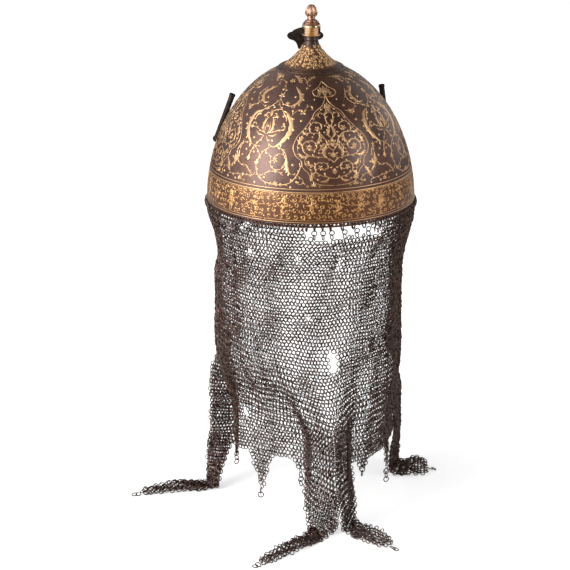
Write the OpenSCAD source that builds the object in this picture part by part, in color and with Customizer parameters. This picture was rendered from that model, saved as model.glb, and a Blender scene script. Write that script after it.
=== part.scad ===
// Kulah khud: a Persian helmet with a domed steel bowl, an apex mount and finial,
// a sliding nasal bar, two plume tubes and a curtain of ring mail.
// Origin: centre of the rim circle, in the plane of the rim's lower edge.
// +Z points up the bowl's axis, +Y out of the front, where the nasal bar is.

/* [Bowl] */
// Outside radius of the bowl at its rim
bowl_radius = 102.5; // [99:0.5:106]
// Height over the rim at which the bowl's curve closes
bowl_height = 139.7; // [132:0.1:148]
// Thickness of the bowl's steel
bowl_wall = 1.4; // [1:0.1:2]
// Radius of the holes drilled along the rim
rim_hole_r = 1; // [0.8:0.05:1.2]
// Height of the rim holes' centres over the edge
rim_hole_z = 2.3; // [2:0.1:3]
// Distance from one rim hole to the next
rim_pitch = 3.8; // [3.6:0.05:5]

/* [Apex mount] */
// Radius of the mount's foot on the bowl
apex_foot_r = 33; // [28:0.5:38]
// Height of the mount's neck over the rim
apex_top_z = 163.5; // [158:0.5:172]
// Radius of the mount's neck
apex_neck_r = 6.8; // [6:0.1:8]
// Thickness of the mount's sheet
apex_wall = 1.2; // [0.8:0.1:1.6]
// Radius of the foot's outer bead
foot_bead_r = 1.3; // [1:0.1:1.6]
// Number of rivets round the foot
apex_rivet_count = 12; // [6:1:16]

/* [Finial] */
// Radius of the polished collar
collar_r = 8.9; // [8:0.1:10]
// Height of the collar
collar_h = 11.3; // [9:0.1:14]
// Height of the knob over the collar
knob_h = 19.3; // [17:0.1:23]
// Radius of the bud at its widest
bud_r = 6; // [5.2:0.1:7]
// Number of petals round the bud
bud_petals = 10; // [8:1:14]
// Radius of the stud that ties finial, mount and bowl
stud_r = 2.2; // [1.8:0.1:2.4]
// Width of the stud's nut across its flats
nut_width = 11; // [9:0.5:13]
// Thickness of the stud's nut
nut_h = 4; // [3:0.5:6]

/* [Nasal bar] */
// Width of the sliding bar
nasal_width = 10; // [8:0.5:12]
// Thickness of the sliding bar
nasal_thick = 2; // [1.5:0.1:3]
// Distance of the bar's back face from the bowl's rim
nasal_stand = 4.7; // [4.4:0.1:6]
// Height of the upper leaf's tip over the rim, bar raised
nasal_top_z = 151; // [148:0.5:156]
// Width of the upper leaf
nasal_leaf_w = 37; // [30:0.5:42]
// Height of the upper leaf
nasal_leaf_h = 24; // [20:0.5:28]
// Depth of the lower leaf's tip under the rim, bar raised
nasal_foot_z = 30; // [26:0.5:40]
// Width of the lower leaf
nasal_foot_w = 24; // [18:0.5:30]
// Travel of the bar from raised to lowered
nasal_travel = 85; // [60:1:90]

/* [Nasal bracket] */
// Height of the bracket's lower edge over the rim
bracket_z = 16; // [15:0.5:20]
// Height of the bracket
bracket_h = 14; // [12:0.5:18]
// Thickness of the bracket's walls round the bar
bracket_wall = 2.2; // [1.8:0.1:3]
// Width of the bracket over its riveted ears
bracket_span = 32; // [30:0.5:38]
// Radius of the thumbscrew's shank
screw_r = 2; // [1.6:0.1:2.4]
// Width of the thumbscrew's wings
screw_wings = 16; // [12:0.5:20]

/* [Plume holders] */
// Outside radius of a plume tube
plume_r = 2.75; // [2.4:0.05:3.2]
// Inside radius of a plume tube
plume_bore_r = 1.9; // [1.6:0.05:2.1]
// Length of a plume tube
plume_length = 50; // [44:0.5:60]
// Angle of the left holder from the front
plume_left_turn = 66; // [50:1:75]
// Lean of the left tube towards the bowl's axis
plume_left_lean = 21; // [16:0.5:22]
// Distance of the left tube's axis from the bowl, at the top of its plate
plume_left_stand = 5.4; // [5:0.1:7]
// Angle of the right holder from the front
plume_right_turn = 52; // [45:1:75]
// Lean of the right tube towards the bowl's axis
plume_right_lean = 10; // [5:0.5:22]
// Distance of the right tube's axis from the bowl, at the top of its plate
plume_right_stand = 11; // [5:0.1:12]
// Height of a tube's lower end over the rim
plume_foot_z = 52; // [46:0.5:56]
// Width of a holder's riveted leaf plate
leaf_plate_w = 20; // [17:0.5:24]
// Height of a holder's riveted leaf plate
leaf_plate_h = 42; // [38:0.5:48]
// Thickness of the riveted leaf plates
leaf_plate_t = 1.2; // [0.8:0.1:1.5]

/* [Rivets] */
// Radius of a rivet's shank
rivet_r = 0.9; // [0.7:0.05:1.1]
// Radius of a rivet's head
rivet_head_r = 1.9; // [1.6:0.1:2.2]

/* [Mail] */
// Radius of a hanger ring, to the middle of its wire
hanger_r = 2.9; // [2.7:0.05:3.2]
// Radius of a hanger ring's wire
hanger_wire = 0.45; // [0.35:0.05:0.55]
// Width that one column of mail takes
mail_pitch = 3.45; // [3.4:0.05:3.5]
// Thickness of the hanging mail
mail_thick = 2.2; // [1.4:0.1:3]
// Drop of the mail from its top row to the hem
mail_drop = 245; // [240:1:250]
// Columns of mail on each side of the middle of the back
mail_half = 62; // [60:2:64]
// Drop of the short fringe over the brow
fringe_drop = 42; // [30:1:55]
// Drop from the rim to the surface that the long points lie on
floor_drop = 314; // [310:1:320]

/* [Hidden] */
$fn = 64;

// Clearance between riveted sheets
seat = 0.15;
// Clearance between a shank and its hole
hole_gap = 0.15;
// Running clearance of the sliding bar in its bracket, each side
slide_gap = 0.3;
// Bare colours of the metals
steel_dark = "#5b4a42";
steel_iron = "#4a4340";
gilt = "#b98d4c";

// Bowl: the outline is an ellipse, cut at the same angles for each skin,
// so that sheets laid on it stay parallel to it.
dome_steps = 24;

function dome_r(z, grow = 0) =
    (bowl_radius + grow) * sqrt(1 - pow(z / (bowl_height + grow), 2));
function dome_z(r, grow = 0) =
    (bowl_height + grow) * sqrt(1 - pow(r / (bowl_radius + grow), 2));
function dome_outline(grow) = [for (i = [0 : dome_steps])
    [(bowl_radius + grow) * cos(90 * i / dome_steps),
     (bowl_height + grow) * sin(90 * i / dome_steps)]];
// Slope of the bowl's surface normal over the horizontal, at height z
function dome_tilt(z) = atan2(z / pow(bowl_height, 2), dome_r(z) / pow(bowl_radius, 2));
function blend(a, b, t) = a + (b - a) * t;
function reversed(list) = [for (i = [len(list) - 1 : -1 : 0]) list[i]];

// Solid bowl shape, its skin moved outwards by grow
module dome_blank(grow) {
    rotate_extrude($fn = 96)
        polygon(concat([[0, -8], [bowl_radius + grow, -8]], dome_outline(grow)));
}

// Skin between two offsets of the bowl's outline
module dome_skin(inner, outer) {
    rotate_extrude($fn = 96)
        polygon(concat(dome_outline(outer), reversed(dome_outline(inner))));
}

// Puts children on the bowl at an angle from the front and a height,
// with their +Z along the surface's normal
module on_bowl(turn, z, lift = 0) {
    rotate([0, 0, 90 + turn])
        translate([dome_r(z), 0, z])
        rotate([0, 90 - dome_tilt(z), 0])
        translate([0, 0, lift])
        children();
}

// Rivets: each is a domed head over the sheets, a shank through them and a
// peened head inside the bowl.
module rivet(turn, z, sheets) {
    on_bowl(turn, z, sheets)
        rotate_extrude($fn = 20)
        polygon(concat([[0, -sheets - bowl_wall - 1],
             [rivet_r * 1.4, -sheets - bowl_wall - 1],
             [rivet_r * 1.5, -sheets - bowl_wall - seat],
             [rivet_r, -sheets - bowl_wall - seat], [rivet_r, seat],
             [rivet_head_r, seat]],
             [for (a = [15 : 15 : 90]) [rivet_head_r * cos(a), seat + 1.2 * sin(a)]]));
}

module rivet_hole(turn, z) {
    on_bowl(turn, z, -6)
        cylinder(r = rivet_r + hole_gap, h = 14, $fn = 20);
}

// Places of the rivets, as [turn from the front, height over the rim]
apex_rivet_z = dome_z(apex_foot_r - 3.1);
apex_rivet_spots = [for (i = [0 : apex_rivet_count - 1])
    [(i + 0.5) * 360 / apex_rivet_count, apex_rivet_z]];
ear_turn = asin((bracket_span / 2 - 3) / bowl_radius);
bracket_rivet_spots = [for (side = [-1, 1], level = [0.25, 0.75])
    [side * ear_turn, bracket_z + level * bracket_h]];
nasal_plate_top = bracket_z + bracket_h + 20;
nasal_rivet_spots = concat(bracket_rivet_spots, [[0, nasal_plate_top - 8]]);
leaf_plate_z = plume_foot_z - leaf_plate_h * 0.4;
// Each plate has two rivets on each side of its tube, clear of the tube
plume_rivet_side = (plume_r + rivet_head_r + 0.8) / bowl_radius * 180 / PI * 1.1;
function plume_rivet_spots(turn) = [for (side = [-1, 1], level = [10, 25])
    [turn + side * plume_rivet_side, leaf_plate_z + level]];

// Drilling along the rim
rim_count = 2 * floor(PI * bowl_radius / rim_pitch);
rim_mid_r = bowl_radius - bowl_wall / 2;

module bowl() {
    color(steel_dark)
    difference() {
        dome_skin(-bowl_wall, 0);
        translate([0, 0, bowl_height - 10])
            cylinder(r = stud_r + hole_gap, h = 20);
        for (i = [0 : rim_count - 1])
            rotate([0, 0, (i + 0.5) * 360 / rim_count])
            translate([rim_mid_r - 3, 0, rim_hole_z])
            rotate([0, 90, 0])
            cylinder(r = rim_hole_r, h = 6, $fn = 16);
        for (spot = concat(apex_rivet_spots, nasal_rivet_spots,
                plume_rivet_spots(plume_left_turn),
                plume_rivet_spots(-plume_right_turn)))
            rivet_hole(spot[0], spot[1]);
    }
}

// Apex mount: a concave cone of sheet rising from a beaded flange on the bowl
flange_w = 7;
flange_lift = seat + apex_wall;
cone_foot_r = apex_foot_r - flange_w;
cone_foot_z = dome_z(cone_foot_r) + flange_lift - 0.3;
cone_steps = 14;
function cone_outline(inset) = [for (i = [0 : cone_steps])
    let (u = i / cone_steps)
    [apex_neck_r - inset + (cone_foot_r - apex_neck_r) * pow(1 - u, 1.6),
     cone_foot_z + (apex_top_z - 4 - cone_foot_z) * u]];
function flange_arc(grow) = [for (i = [0 : 4])
    let (r = blend(cone_foot_r - 2, apex_foot_r, i / 4)) [r, dome_z(r, grow)]];

module apex_mount() {
    color(gilt)
    difference() {
        rotate_extrude($fn = 96)
        difference() {
            union() {
                polygon(concat([[apex_neck_r - apex_wall, apex_top_z],
                    [apex_neck_r, apex_top_z]], reversed(cone_outline(0)),
                    [[cone_foot_r, cone_foot_z - 2],
                     [cone_foot_r - apex_wall, cone_foot_z - 2]],
                    cone_outline(apex_wall)));
                polygon(concat(flange_arc(flange_lift), reversed(flange_arc(-1))));
                translate([apex_foot_r, dome_z(apex_foot_r) + 0.7])
                    circle(r = foot_bead_r, $fn = 20);
                translate([cone_foot_r + 0.8, dome_z(cone_foot_r + 0.8) + 1.3])
                    circle(r = foot_bead_r * 0.8, $fn = 20);
            }
            polygon(concat([[0, 0]], dome_outline(seat)));
        }
        for (spot = apex_rivet_spots)
            rivet_hole(spot[0], spot[1]);
    }
}

module apex_rivets() {
    color(gilt)
    for (spot = apex_rivet_spots)
        rivet(spot[0], spot[1], flange_lift);
}

// Finial: a stud runs from a nut inside the bowl up to the knob
knob_z = apex_top_z + collar_h;
stud_bore = stud_r + hole_gap;

module finial_collar() {
    color("#d9b16a")
    rotate_extrude($fn = 96)
    polygon(concat([[stud_bore, apex_top_z], [collar_r - 1.4, apex_top_z]],
        [for (a = [-60 : 30 : 0])
            [collar_r - 1.4 + 1.4 * cos(a), apex_top_z + 1.6 + 1.6 * sin(a)]],
        [[collar_r, knob_z - 0.6], [collar_r - 0.5, knob_z], [stud_bore, knob_z]]));
}

// Knob: a turned foot in two steps, a hollow neck and a petalled bud
neck_r = stud_bore + 1.25;
bud_z = knob_z + knob_h * 0.42;
bud_tip_z = knob_z + knob_h;
function petal(turn) = 1 - 0.09 * pow(abs(sin(turn * bud_petals / 2)), 0.7);
function bud_outline(u) = u < 0.22
    ? bud_r * (0.72 + 0.28 * sin(90 * u / 0.22))
    : bud_r * (0.2 + 0.8 * pow(cos(90 * (u - 0.22) / 0.78), 0.8));
bud_rings = 9;
bud_sides = bud_petals * 6;

module bud() {
    ring = [for (k = [0 : bud_rings], i = [0 : bud_sides - 1])
        let (u = k / bud_rings, a = 360 * i / bud_sides,
             r = bud_outline(u) * petal(a))
        [r * cos(a), r * sin(a), bud_z + (bud_tip_z - bud_z) * u]];
    walls = [for (k = [0 : bud_rings - 1], i = [0 : bud_sides - 1])
        let (a = k * bud_sides + i, b = k * bud_sides + (i + 1) % bud_sides)
        [a, a + bud_sides, b + bud_sides, b]];
    tris = [for (w = walls, half = [0, 1])
        half == 0 ? [w[0], w[1], w[2]] : [w[0], w[2], w[3]]];
    polyhedron(ring, concat(tris,
        [[for (i = [0 : bud_sides - 1]) i],
         [for (i = [bud_sides - 1 : -1 : 0]) bud_rings * bud_sides + i]]));
}

module finial_knob() {
    color("#d9b16a") {
        difference() {
            rotate_extrude($fn = 96)
            polygon([[0, knob_z], [collar_r - 0.8, knob_z],
                [collar_r - 0.6, knob_z + 1.2], [collar_r - 2, knob_z + 2],
                [collar_r - 2.2, knob_z + 3.2], [collar_r - 3.9, knob_z + 4.4],
                [collar_r - 5.2, knob_z + 6], [neck_r, knob_z + 7.2],
                [neck_r, bud_z + 1.5], [0, bud_z + 1.5]]);
            translate([0, 0, knob_z - 1])
                cylinder(r = stud_bore, h = bud_z - knob_z - 0.2);
        }
        bud();
    }
}

nut_z = bowl_height - bowl_wall - 1.2 - nut_h;
module finial_stud() {
    color(steel_iron)
    translate([0, 0, nut_z - 1.5])
        cylinder(r = stud_r, h = bud_z - 2 - nut_z + 1.5);
}

module finial_nut() {
    color(steel_iron)
    translate([0, 0, nut_z])
    difference() {
        union() {
            cylinder(d = nut_width / cos(30), h = nut_h, $fn = 6);
            translate([0, 0, nut_h])
                cylinder(r = stud_r + 2, h = 0.8);
        }
        translate([0, 0, -1])
            cylinder(r = stud_bore, h = nut_h + 3);
    }
}

// Nasal bar: a flat blade with a pierced-leaf shape at each end
leaf_low_z = nasal_top_z - nasal_leaf_h;
foot_high_z = bracket_z - 6;
nasal_y = bowl_radius + nasal_stand;

// Half of a lobed leaf, from its stem to its tip, as shares of the width it
// grows over the bar and of its height. A cusp parts its two upper lobes.
leaf_flare = [[0, -0.1], [0.02, 0], [0.17, 0.07], [0.24, 0.2], [0.35, 0.33],
    [0.51, 0.41], [0.78, 0.46], [0.95, 0.54], [1, 0.63], [0.86, 0.74], [0.62, 0.78]];
leaf_crown = [[0.62, 0.78], [0.5, 0.85], [0.25, 0.91], [0, 0.955], [-0.34, 1]];

// Smooth curve through a list of points, with three steps to each span
function curve(list) = [for (i = [0 : len(list) - 2], t = [0, 1 / 3, 2 / 3])
    let (a = list[max(0, i - 1)], b = list[i], c = list[i + 1],
         d = list[min(len(list) - 1, i + 2)])
    0.5 * (2 * b + (c - a) * t + (2 * a - 5 * b + 4 * c - d) * t * t
        + (3 * b - a - 3 * c + d) * t * t * t)];
leaf_half = concat(curve(leaf_flare), curve(leaf_crown), [leaf_crown[4]]);

// Half outline of a leaf at an end of the bar: its width, the height of its
// stem and the height of its tip
function bar_leaf(width, stem_z, tip_z) = [for (p = leaf_half)
    [max(0.4, nasal_width / 2 + (width - nasal_width) / 2 * p[0]),
     blend(stem_z, tip_z, p[1])]];

// Right-hand edge of the bar, from the lower tip to the upper one
nasal_edge = concat(reversed(bar_leaf(nasal_foot_w, foot_high_z, -nasal_foot_z)),
    bar_leaf(nasal_leaf_w, leaf_low_z, nasal_top_z));

module nasal_bar() {
    color(steel_dark)
    translate([0, nasal_y + nasal_thick, 0])
    rotate([90, 0, 0])
    linear_extrude(nasal_thick)
        polygon(concat(nasal_edge,
            [for (p = reversed(nasal_edge)) [-p[0], p[1]]]));
}

// Leaf-shaped outline in the plane of X and Y, its foot at the origin
module leaf_shape(width, height) {
    side = [for (t = [0 : 0.1 : 1])
        [0.5 * width * pow(sin(180 * pow(t, 0.75)), 0.8) + 0.5 * (1 - t), height * t]];
    polygon(concat(side, [for (p = reversed(side)) [-p[0], p[1]]]));
}

// Curved plate of a leaf's outline, laid on the bowl
module leaf_plate(turn, foot_z, width, height) {
    intersection() {
        dome_skin(seat, seat + leaf_plate_t);
        rotate([0, 0, turn])
            translate([0, bowl_radius + 20, foot_z])
            rotate([90, 0, 0])
            linear_extrude(60)
            leaf_shape(width, height);
    }
}

nasal_plate_z = bracket_z - 8;
nasal_plate_w = bracket_span + 6;
module nasal_plate() {
    color(gilt)
    difference() {
        leaf_plate(0, nasal_plate_z, nasal_plate_w, nasal_plate_top - nasal_plate_z);
        for (spot = nasal_rivet_spots)
            rivet_hole(spot[0], spot[1]);
        screw_hole();
    }
}

// Bracket: a keeper block with a slot for the bar and two riveted ears
plate_back = seat + leaf_plate_t + seat;
ear_thick = 1.4;
slot_back = nasal_y - slide_gap;
slot_front = nasal_y + nasal_thick + slide_gap;
slot_half = nasal_width / 2 + slide_gap;
bracket_front = slot_front + bracket_wall;

module screw_hole() {
    translate([0, slot_front - 1, bracket_z + bracket_h / 2])
        rotate([-90, 0, 0])
        cylinder(r = screw_r + 0.05, h = 10);
}

module nasal_bracket() {
    color(steel_iron)
    difference() {
        union() {
            intersection() {
                dome_skin(plate_back, plate_back + ear_thick);
                translate([-bracket_span / 2, bowl_radius / 2, bracket_z])
                    cube([bracket_span, bowl_radius, bracket_h]);
            }
            difference() {
                translate([-slot_half - bracket_wall, bowl_radius - 12, bracket_z])
                    cube([2 * (slot_half + bracket_wall),
                        bracket_front - bowl_radius + 12, bracket_h]);
                dome_blank(plate_back);
            }
        }
        translate([-slot_half, slot_back, bracket_z - 1])
            cube([2 * slot_half, slot_front - slot_back, bracket_h + 2]);
        for (spot = bracket_rivet_spots)
            rivet_hole(spot[0], spot[1]);
        screw_hole();
    }
}

module nasal_rivets() {
    color(steel_iron) {
        for (spot = bracket_rivet_spots)
            rivet(spot[0], spot[1], plate_back + ear_thick);
        rivet(0, nasal_plate_top - 8, seat + leaf_plate_t);
    }
}

// Thumbscrew: its tip stops just short of the bar
module nasal_screw() {
    head_y = bracket_front + 2;
    color(steel_iron)
    translate([0, 0, bracket_z + bracket_h / 2])
    rotate([-90, 0, 0]) {
        translate([0, 0, slot_front - slide_gap + 0.1])
            cylinder(r = screw_r, h = head_y - slot_front + slide_gap);
        translate([0, 0, head_y])
            cylinder(r = screw_r + 1.4, h = 3);
        translate([-screw_wings / 2 + 2.4, -0.9, head_y + 3.6])
            cube([screw_wings - 4.8, 1.8, 3]);
        for (side = [-1, 1])
            translate([side * (screw_wings / 2 - 3), 0.9, head_y + 5.6])
            rotate([90, 0, 0])
            cylinder(r = 3, h = 1.8, $fn = 32);
        translate([0, 0, head_y + 3])
            cylinder(r = screw_r + 0.6, h = 3.6);
    }
}

// Plume holder: a tube with a closed ball end on a short post
plate_top_z = leaf_plate_z + leaf_plate_h - 5;
function plume_start_r(lean, stand) =
    dome_r(plate_top_z) + stand + tan(lean) * (plate_top_z - plume_foot_z);

module plume_axis(turn, lean, stand) {
    rotate([0, 0, turn])
        translate([0, plume_start_r(lean, stand), plume_foot_z])
        rotate([lean, 0, 0])
        children();
}

module plume_tube(turn, lean, stand) {
    color(steel_iron)
    difference() {
        union() {
            plume_axis(turn, lean, stand) {
                cylinder(r = plume_r, h = plume_length, $fn = 32);
                sphere(r = plume_r + 0.9, $fn = 32);
                translate([0, 0, plume_length - 2])
                    cylinder(r = plume_r + 0.35, h = 2, $fn = 32);
            }
            difference() {
                rotate([0, 0, turn])
                    translate([0, plume_start_r(lean, stand), plume_foot_z])
                    rotate([90, 0, 0])
                    cylinder(r1 = 2.2, r2 = 4, h = 12, $fn = 32);
                dome_blank(plate_back);
            }
        }
        plume_axis(turn, lean, stand)
            translate([0, 0, 8])
            cylinder(r = plume_bore_r, h = plume_length, $fn = 32);
    }
}

module plume_plate(turn) {
    color(gilt)
    difference() {
        leaf_plate(turn, leaf_plate_z, leaf_plate_w, leaf_plate_h);
        for (spot = plume_rivet_spots(turn))
            rivet_hole(spot[0], spot[1]);
    }
}

module plume_rivets(turn) {
    color(steel_iron)
    for (spot = plume_rivet_spots(turn))
        rivet(spot[0], spot[1], seat + leaf_plate_t);
}

// Hanger rings: one linked through each rim hole
hanger_z = rim_hole_z - hanger_r;

module hanger_rings() {
    color(steel_iron)
    for (i = [0 : rim_count - 1])
        rotate([0, 0, (i + 0.5) * 360 / rim_count])
        translate([rim_mid_r, 0, hanger_z])
        rotate([90, 0, 0])
        rotate_extrude($fn = 20)
        translate([hanger_r, 0])
        circle(r = hanger_wire, $fn = 14);
}

// Mail: the sheet is a line in plan, followed column by column from the middle
// of the back, that keeps its length while its direction turns. Near the rim it
// turns evenly, as a ring. Towards the hem it turns in folds.
// Places along the sheet are in millimetres of relaxed mail, + to the right.
mail_z = hanger_z - hanger_r - hanger_wire - 0.3;
round_r = rim_count * mail_pitch / (2 * PI);
hem_turns = [[-216, -6], [-192, -6], [-186, -90], [-121, -90], [-115, -34],
    [-46, -34], [-41, -82], [-24, -82], [-19, -31], [4, -31], [10, 37], [26, 37],
    [31, 84], [44, 84], [50, 22], [62, 22], [68, 56], [100, 56], [108, 75],
    [160, 75], [170, 78], [216, 80]];

function smooth(t) = let (u = min(1, max(0, t))) u * u * (3 - 2 * u);
function folding(drop) = smooth((drop - 125) / 100);
function gather(drop) = 1 - smooth(drop / 60);
function mail_turn(s, drop) =
    blend(s / round_r * 180 / PI, lookup(s, hem_turns), folding(drop));
function mail_spread(drop) = blend(1, rim_pitch / mail_pitch, gather(drop));
function mail_start(drop) = blend(blend([-2, 11.5 - bowl_radius],
    [8.6, -1.9 - bowl_radius], folding(drop)), [0, -rim_mid_r], gather(drop));

// One level of the sheet: a list of [x, y, direction] for the columns
// -mail_half .. mail_half
function mail_walk(drop, way) = let (
        step = mail_pitch * way, long = step * mail_spread(drop))
    [for (i = 0, p = mail_start(drop); i <= mail_half;
        p = p + long * [cos(mail_turn((i + 0.5) * step, drop)),
                        sin(mail_turn((i + 0.5) * step, drop))], i = i + 1)
        [p[0], p[1], mail_turn(i * step, drop)]];
function mail_level(drop) =
    concat([for (p = reversed(mail_walk(drop, -1))) p],
        [for (p = mail_walk(drop, 1)) if (p != mail_walk(drop, 1)[0]) p]);

// Drops of the levels that the shells are built on, and the levels themselves
mail_drops = concat([0, 20, 45, 75, 105, 130], [for (d = [147 : 14 : mail_drop - 10]) d],
    [mail_drop]);
mail_rows = len(mail_drops);
mail_levels = [for (d = mail_drops) mail_level(d)];

// Small points of the hem, as [place along the sheet, half width, depth]
hem_points = [[-159, 9, 12], [-124, 8, 10], [-90, 12, 30], [-48, 8, 16],
    [62, 8, 10], [117, 8, 32]];
function hem_depth(s) = max([for (p = hem_points)
    p[2] * max(0, 1 - abs(s - p[0]) / p[1])]) + 2;

// Vertex of a shell on side out (+1 outwards, -1 inwards), for column c and row k.
// The row after the last level is the pointed hem.
function mail_vertex(c, k, out) = let (
        row = min(k, mail_rows - 1), p = mail_levels[row][c + mail_half],
        sink = k < mail_rows ? mail_drops[k] : mail_drop + hem_depth(c * mail_pitch))
    [p[0] + out * mail_thick / 2 * sin(p[2]), p[1] - out * mail_thick / 2 * cos(p[2]),
     mail_z - sink];

// Closed shell over a grid of cells: cols and rows list the grid lines, and
// keep says for each cell whether the sheet covers it. Vertices come from
// outer and inner, one list each, row by row.
function cell_faces(n, m, keep) = let (
        at = function (i, k, side) side * n * m + k * n + i,
        has = function (i, k) i >= 0 && i < n - 1 && k >= 0 && k < m - 1 && keep[k][i],
        quad = function (a, b, c, d) [[a, c, b], [a, d, c]])
    [for (k = [0 : m - 2], i = [0 : n - 2]) if (has(i, k)) each concat(
        quad(at(i, k, 0), at(i, k + 1, 0), at(i + 1, k + 1, 0), at(i + 1, k, 0)),
        quad(at(i, k, 1), at(i + 1, k, 1), at(i + 1, k + 1, 1), at(i, k + 1, 1)),
        has(i - 1, k) ? [] : quad(at(i, k, 0), at(i, k, 1), at(i, k + 1, 1), at(i, k + 1, 0)),
        has(i + 1, k) ? [] : quad(at(i + 1, k + 1, 0), at(i + 1, k + 1, 1),
            at(i + 1, k, 1), at(i + 1, k, 0)),
        has(i, k - 1) ? [] : quad(at(i, k, 0), at(i + 1, k, 0), at(i + 1, k, 1), at(i, k, 1)),
        has(i, k + 1) ? [] : quad(at(i + 1, k + 1, 0), at(i, k + 1, 0),
            at(i, k + 1, 1), at(i + 1, k + 1, 1)))];

// Long points: for each, the range of columns at the hem, where its middle
// meets the floor, the direction across it there, the direction of its foot,
// the foot's length, how far it has narrowed at the floor and again at the
// tip, and the foot's bank
point_front_left = [[-62, -54], [-99, 15], -50, 193, 78, 0.62, 0.45, 32];
point_back_left = [[-12, 2], [2, -107], -3, 227, 96, 0.62, 0.6, 12];
point_back_right = [[2, 14], [29, -95], 55, 308, 64, 0.72, 0.62, 16];
point_front_right = [[46, 62], [92, 53], 72, -3, 32, 0.72, 0.85, 8];
all_points = [point_front_left, point_back_left, point_back_right, point_front_right];

function under_point(column) = len([for (p = all_points)
    if (column >= p[0][0] && column < p[0][1]) 1]) > 0;

module mail_panel(from, to) {
    cols = [for (c = [from : 2 : to]) c];
    keep = [for (k = [0 : mail_rows - 1]) [for (c = cols)
        k < mail_rows - 1 || !under_point(c)]];
    points = [for (out = [1, -1], k = [0 : mail_rows], c = cols) mail_vertex(c, k, out)];
    color(steel_iron)
        polyhedron(points, cell_faces(len(cols), mail_rows + 1, keep));
}

// Long point: a strip that narrows, bends on the floor and lies down as a foot
bend_r = 7;
// Clearance of a point's edges from its neighbour's, below the hem
point_gap = 1.3;
function strip_half(p, t) = 0.5 * (p[0][1] - p[0][0]) * mail_pitch
    * (t < 1 ? blend(1, p[5], pow(t, 0.9))
        : p[5] * blend(1, p[6], t - 1) * sqrt(1 - pow(max(0, t - 1.8) / 0.23, 2)));
function foot_turn(p, t) = blend(p[2], p[3] + (p[3] > 180 ? -270 : 90), smooth(t - 1));
// Path of a strip at t: 0 at the hem, 1 where it starts to bend, 2 at the tip
function strip_z(t) = t < 1
    ? blend(mail_z - mail_drop, bend_r + mail_thick / 2 - floor_drop, t)
    : bend_r * (1 - sin(min(90, (t - 1) * 400))) + mail_thick / 2 - floor_drop;
function strip_run(p, t) = t < 1 ? 0
    : bend_r * (1 - cos(min(90, (t - 1) * 400))) + p[4] * max(0, t - 1.1);

function strip_point(p, u, t) = let (
        column = blend(p[0][0], p[0][1], (u + 1) / 2),
        root = mail_levels[mail_rows - 1][round(column) + mail_half],
        half = strip_half(p, t), a = foot_turn(p, t),
        bank = p[7] * smooth((t - 1) * 2),
        flat = p[1] + strip_run(p, t) * [cos(p[3]), sin(p[3])]
            + u * half * cos(bank) * [cos(a), sin(a)],
        drawn_in = -u * point_gap * min(1, 6 * t) * min(1, max(0, 2 - 2 * t))
            * [cos(root[2]), sin(root[2])],
        plan = blend([root[0], root[1]], flat, smooth(min(1, t))) + drawn_in)
    [plan[0], plan[1], strip_z(t) + (1 + u * sign(sin(a))) * half * sin(bank)];

function unit(v) = v / norm(v);
function strip_normal(p, u, t) = t <= 0
    ? let (root = mail_levels[mail_rows - 1][round(blend(p[0][0], p[0][1], (u + 1) / 2))
            + mail_half]) [sin(root[2]), -cos(root[2]), 0]
    : let (aside = 2.2 / (p[0][1] - p[0][0]))
        unit(cross(strip_point(p, u, t + 0.02) - strip_point(p, u, t - 0.02),
            strip_point(p, min(1, u + aside), t) - strip_point(p, max(-1, u - aside), t)));

strip_steps = [0, 0.15, 0.3, 0.5, 0.7, 0.86, 1, 1.07, 1.14, 1.225, 1.35, 1.5, 1.65,
    1.8, 1.9, 2];

module mail_point(p) {
    lines = (p[0][1] - p[0][0]) / 2;
    us = [for (i = [0 : lines]) -1 + 2 * i / lines];
    keep = [for (t = strip_steps) [for (u = us) true]];
    points = [for (out = [1, -1], t = strip_steps, u = us)
        strip_point(p, u, t) + out * mail_thick / 2 * strip_normal(p, u, t)];
    color(steel_iron)
        polyhedron(points, cell_faces(len(us), len(strip_steps), keep));
}

// Short fringe over the brow, between the sheet's two front edges
fringe_gap = 1.2;
fringe_from = mail_half * 360 / rim_count + fringe_gap;
fringe_cols = 24;
fringe_rows = [0, 0.33, 0.66, 1];

module mail_brow_fringe() {
    span = 360 - 2 * fringe_from;
    points = [for (out = [1, -1], t = fringe_rows, i = [0 : fringe_cols])
        let (a = -90 + fringe_from + span * i / fringe_cols,
             r = rim_mid_r - 1.5 * t + out * mail_thick / 2,
             tooth = t == 1 ? 9 * (1 - abs(((i + 2) % 4) - 2) / 2) : 0)
        [r * cos(a), r * sin(a), mail_z - fringe_drop * t - tooth]];
    keep = [for (t = fringe_rows) [for (i = [0 : fringe_cols]) true]];
    color(steel_iron)
        polyhedron(points, cell_faces(fringe_cols + 1, len(fringe_rows), keep));
}

bowl();
apex_mount();
apex_rivets();
finial_collar();
finial_knob();
finial_stud();
finial_nut();
nasal_bar();
nasal_plate();
nasal_bracket();
nasal_rivets();
nasal_screw();
plume_plate(plume_left_turn);  // plume_plate_left
plume_tube(plume_left_turn, plume_left_lean, plume_left_stand);  // plume_tube_left
plume_rivets(plume_left_turn);  // plume_rivets_left
plume_plate(-plume_right_turn);  // plume_plate_right
plume_tube(-plume_right_turn, plume_right_lean, plume_right_stand);  // plume_tube_right
plume_rivets(-plume_right_turn);  // plume_rivets_right
hanger_rings();
mail_panel(-mail_half, -36);  // mail_left_side
mail_panel(-36, -12);  // mail_back_left
mail_panel(-12, 14);  // mail_back_centre
mail_panel(14, 38);  // mail_back_right
mail_panel(38, mail_half);  // mail_right_side
mail_brow_fringe();
mail_point(point_front_left);  // mail_point_front_left
mail_point(point_back_left);  // mail_point_back_left
mail_point(point_back_right);  // mail_point_back_right
mail_point(point_front_right);  // mail_point_front_right
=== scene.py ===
import math
from collections import namedtuple

import bpy
import numpy as np
from mathutils import Matrix, Vector


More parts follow.
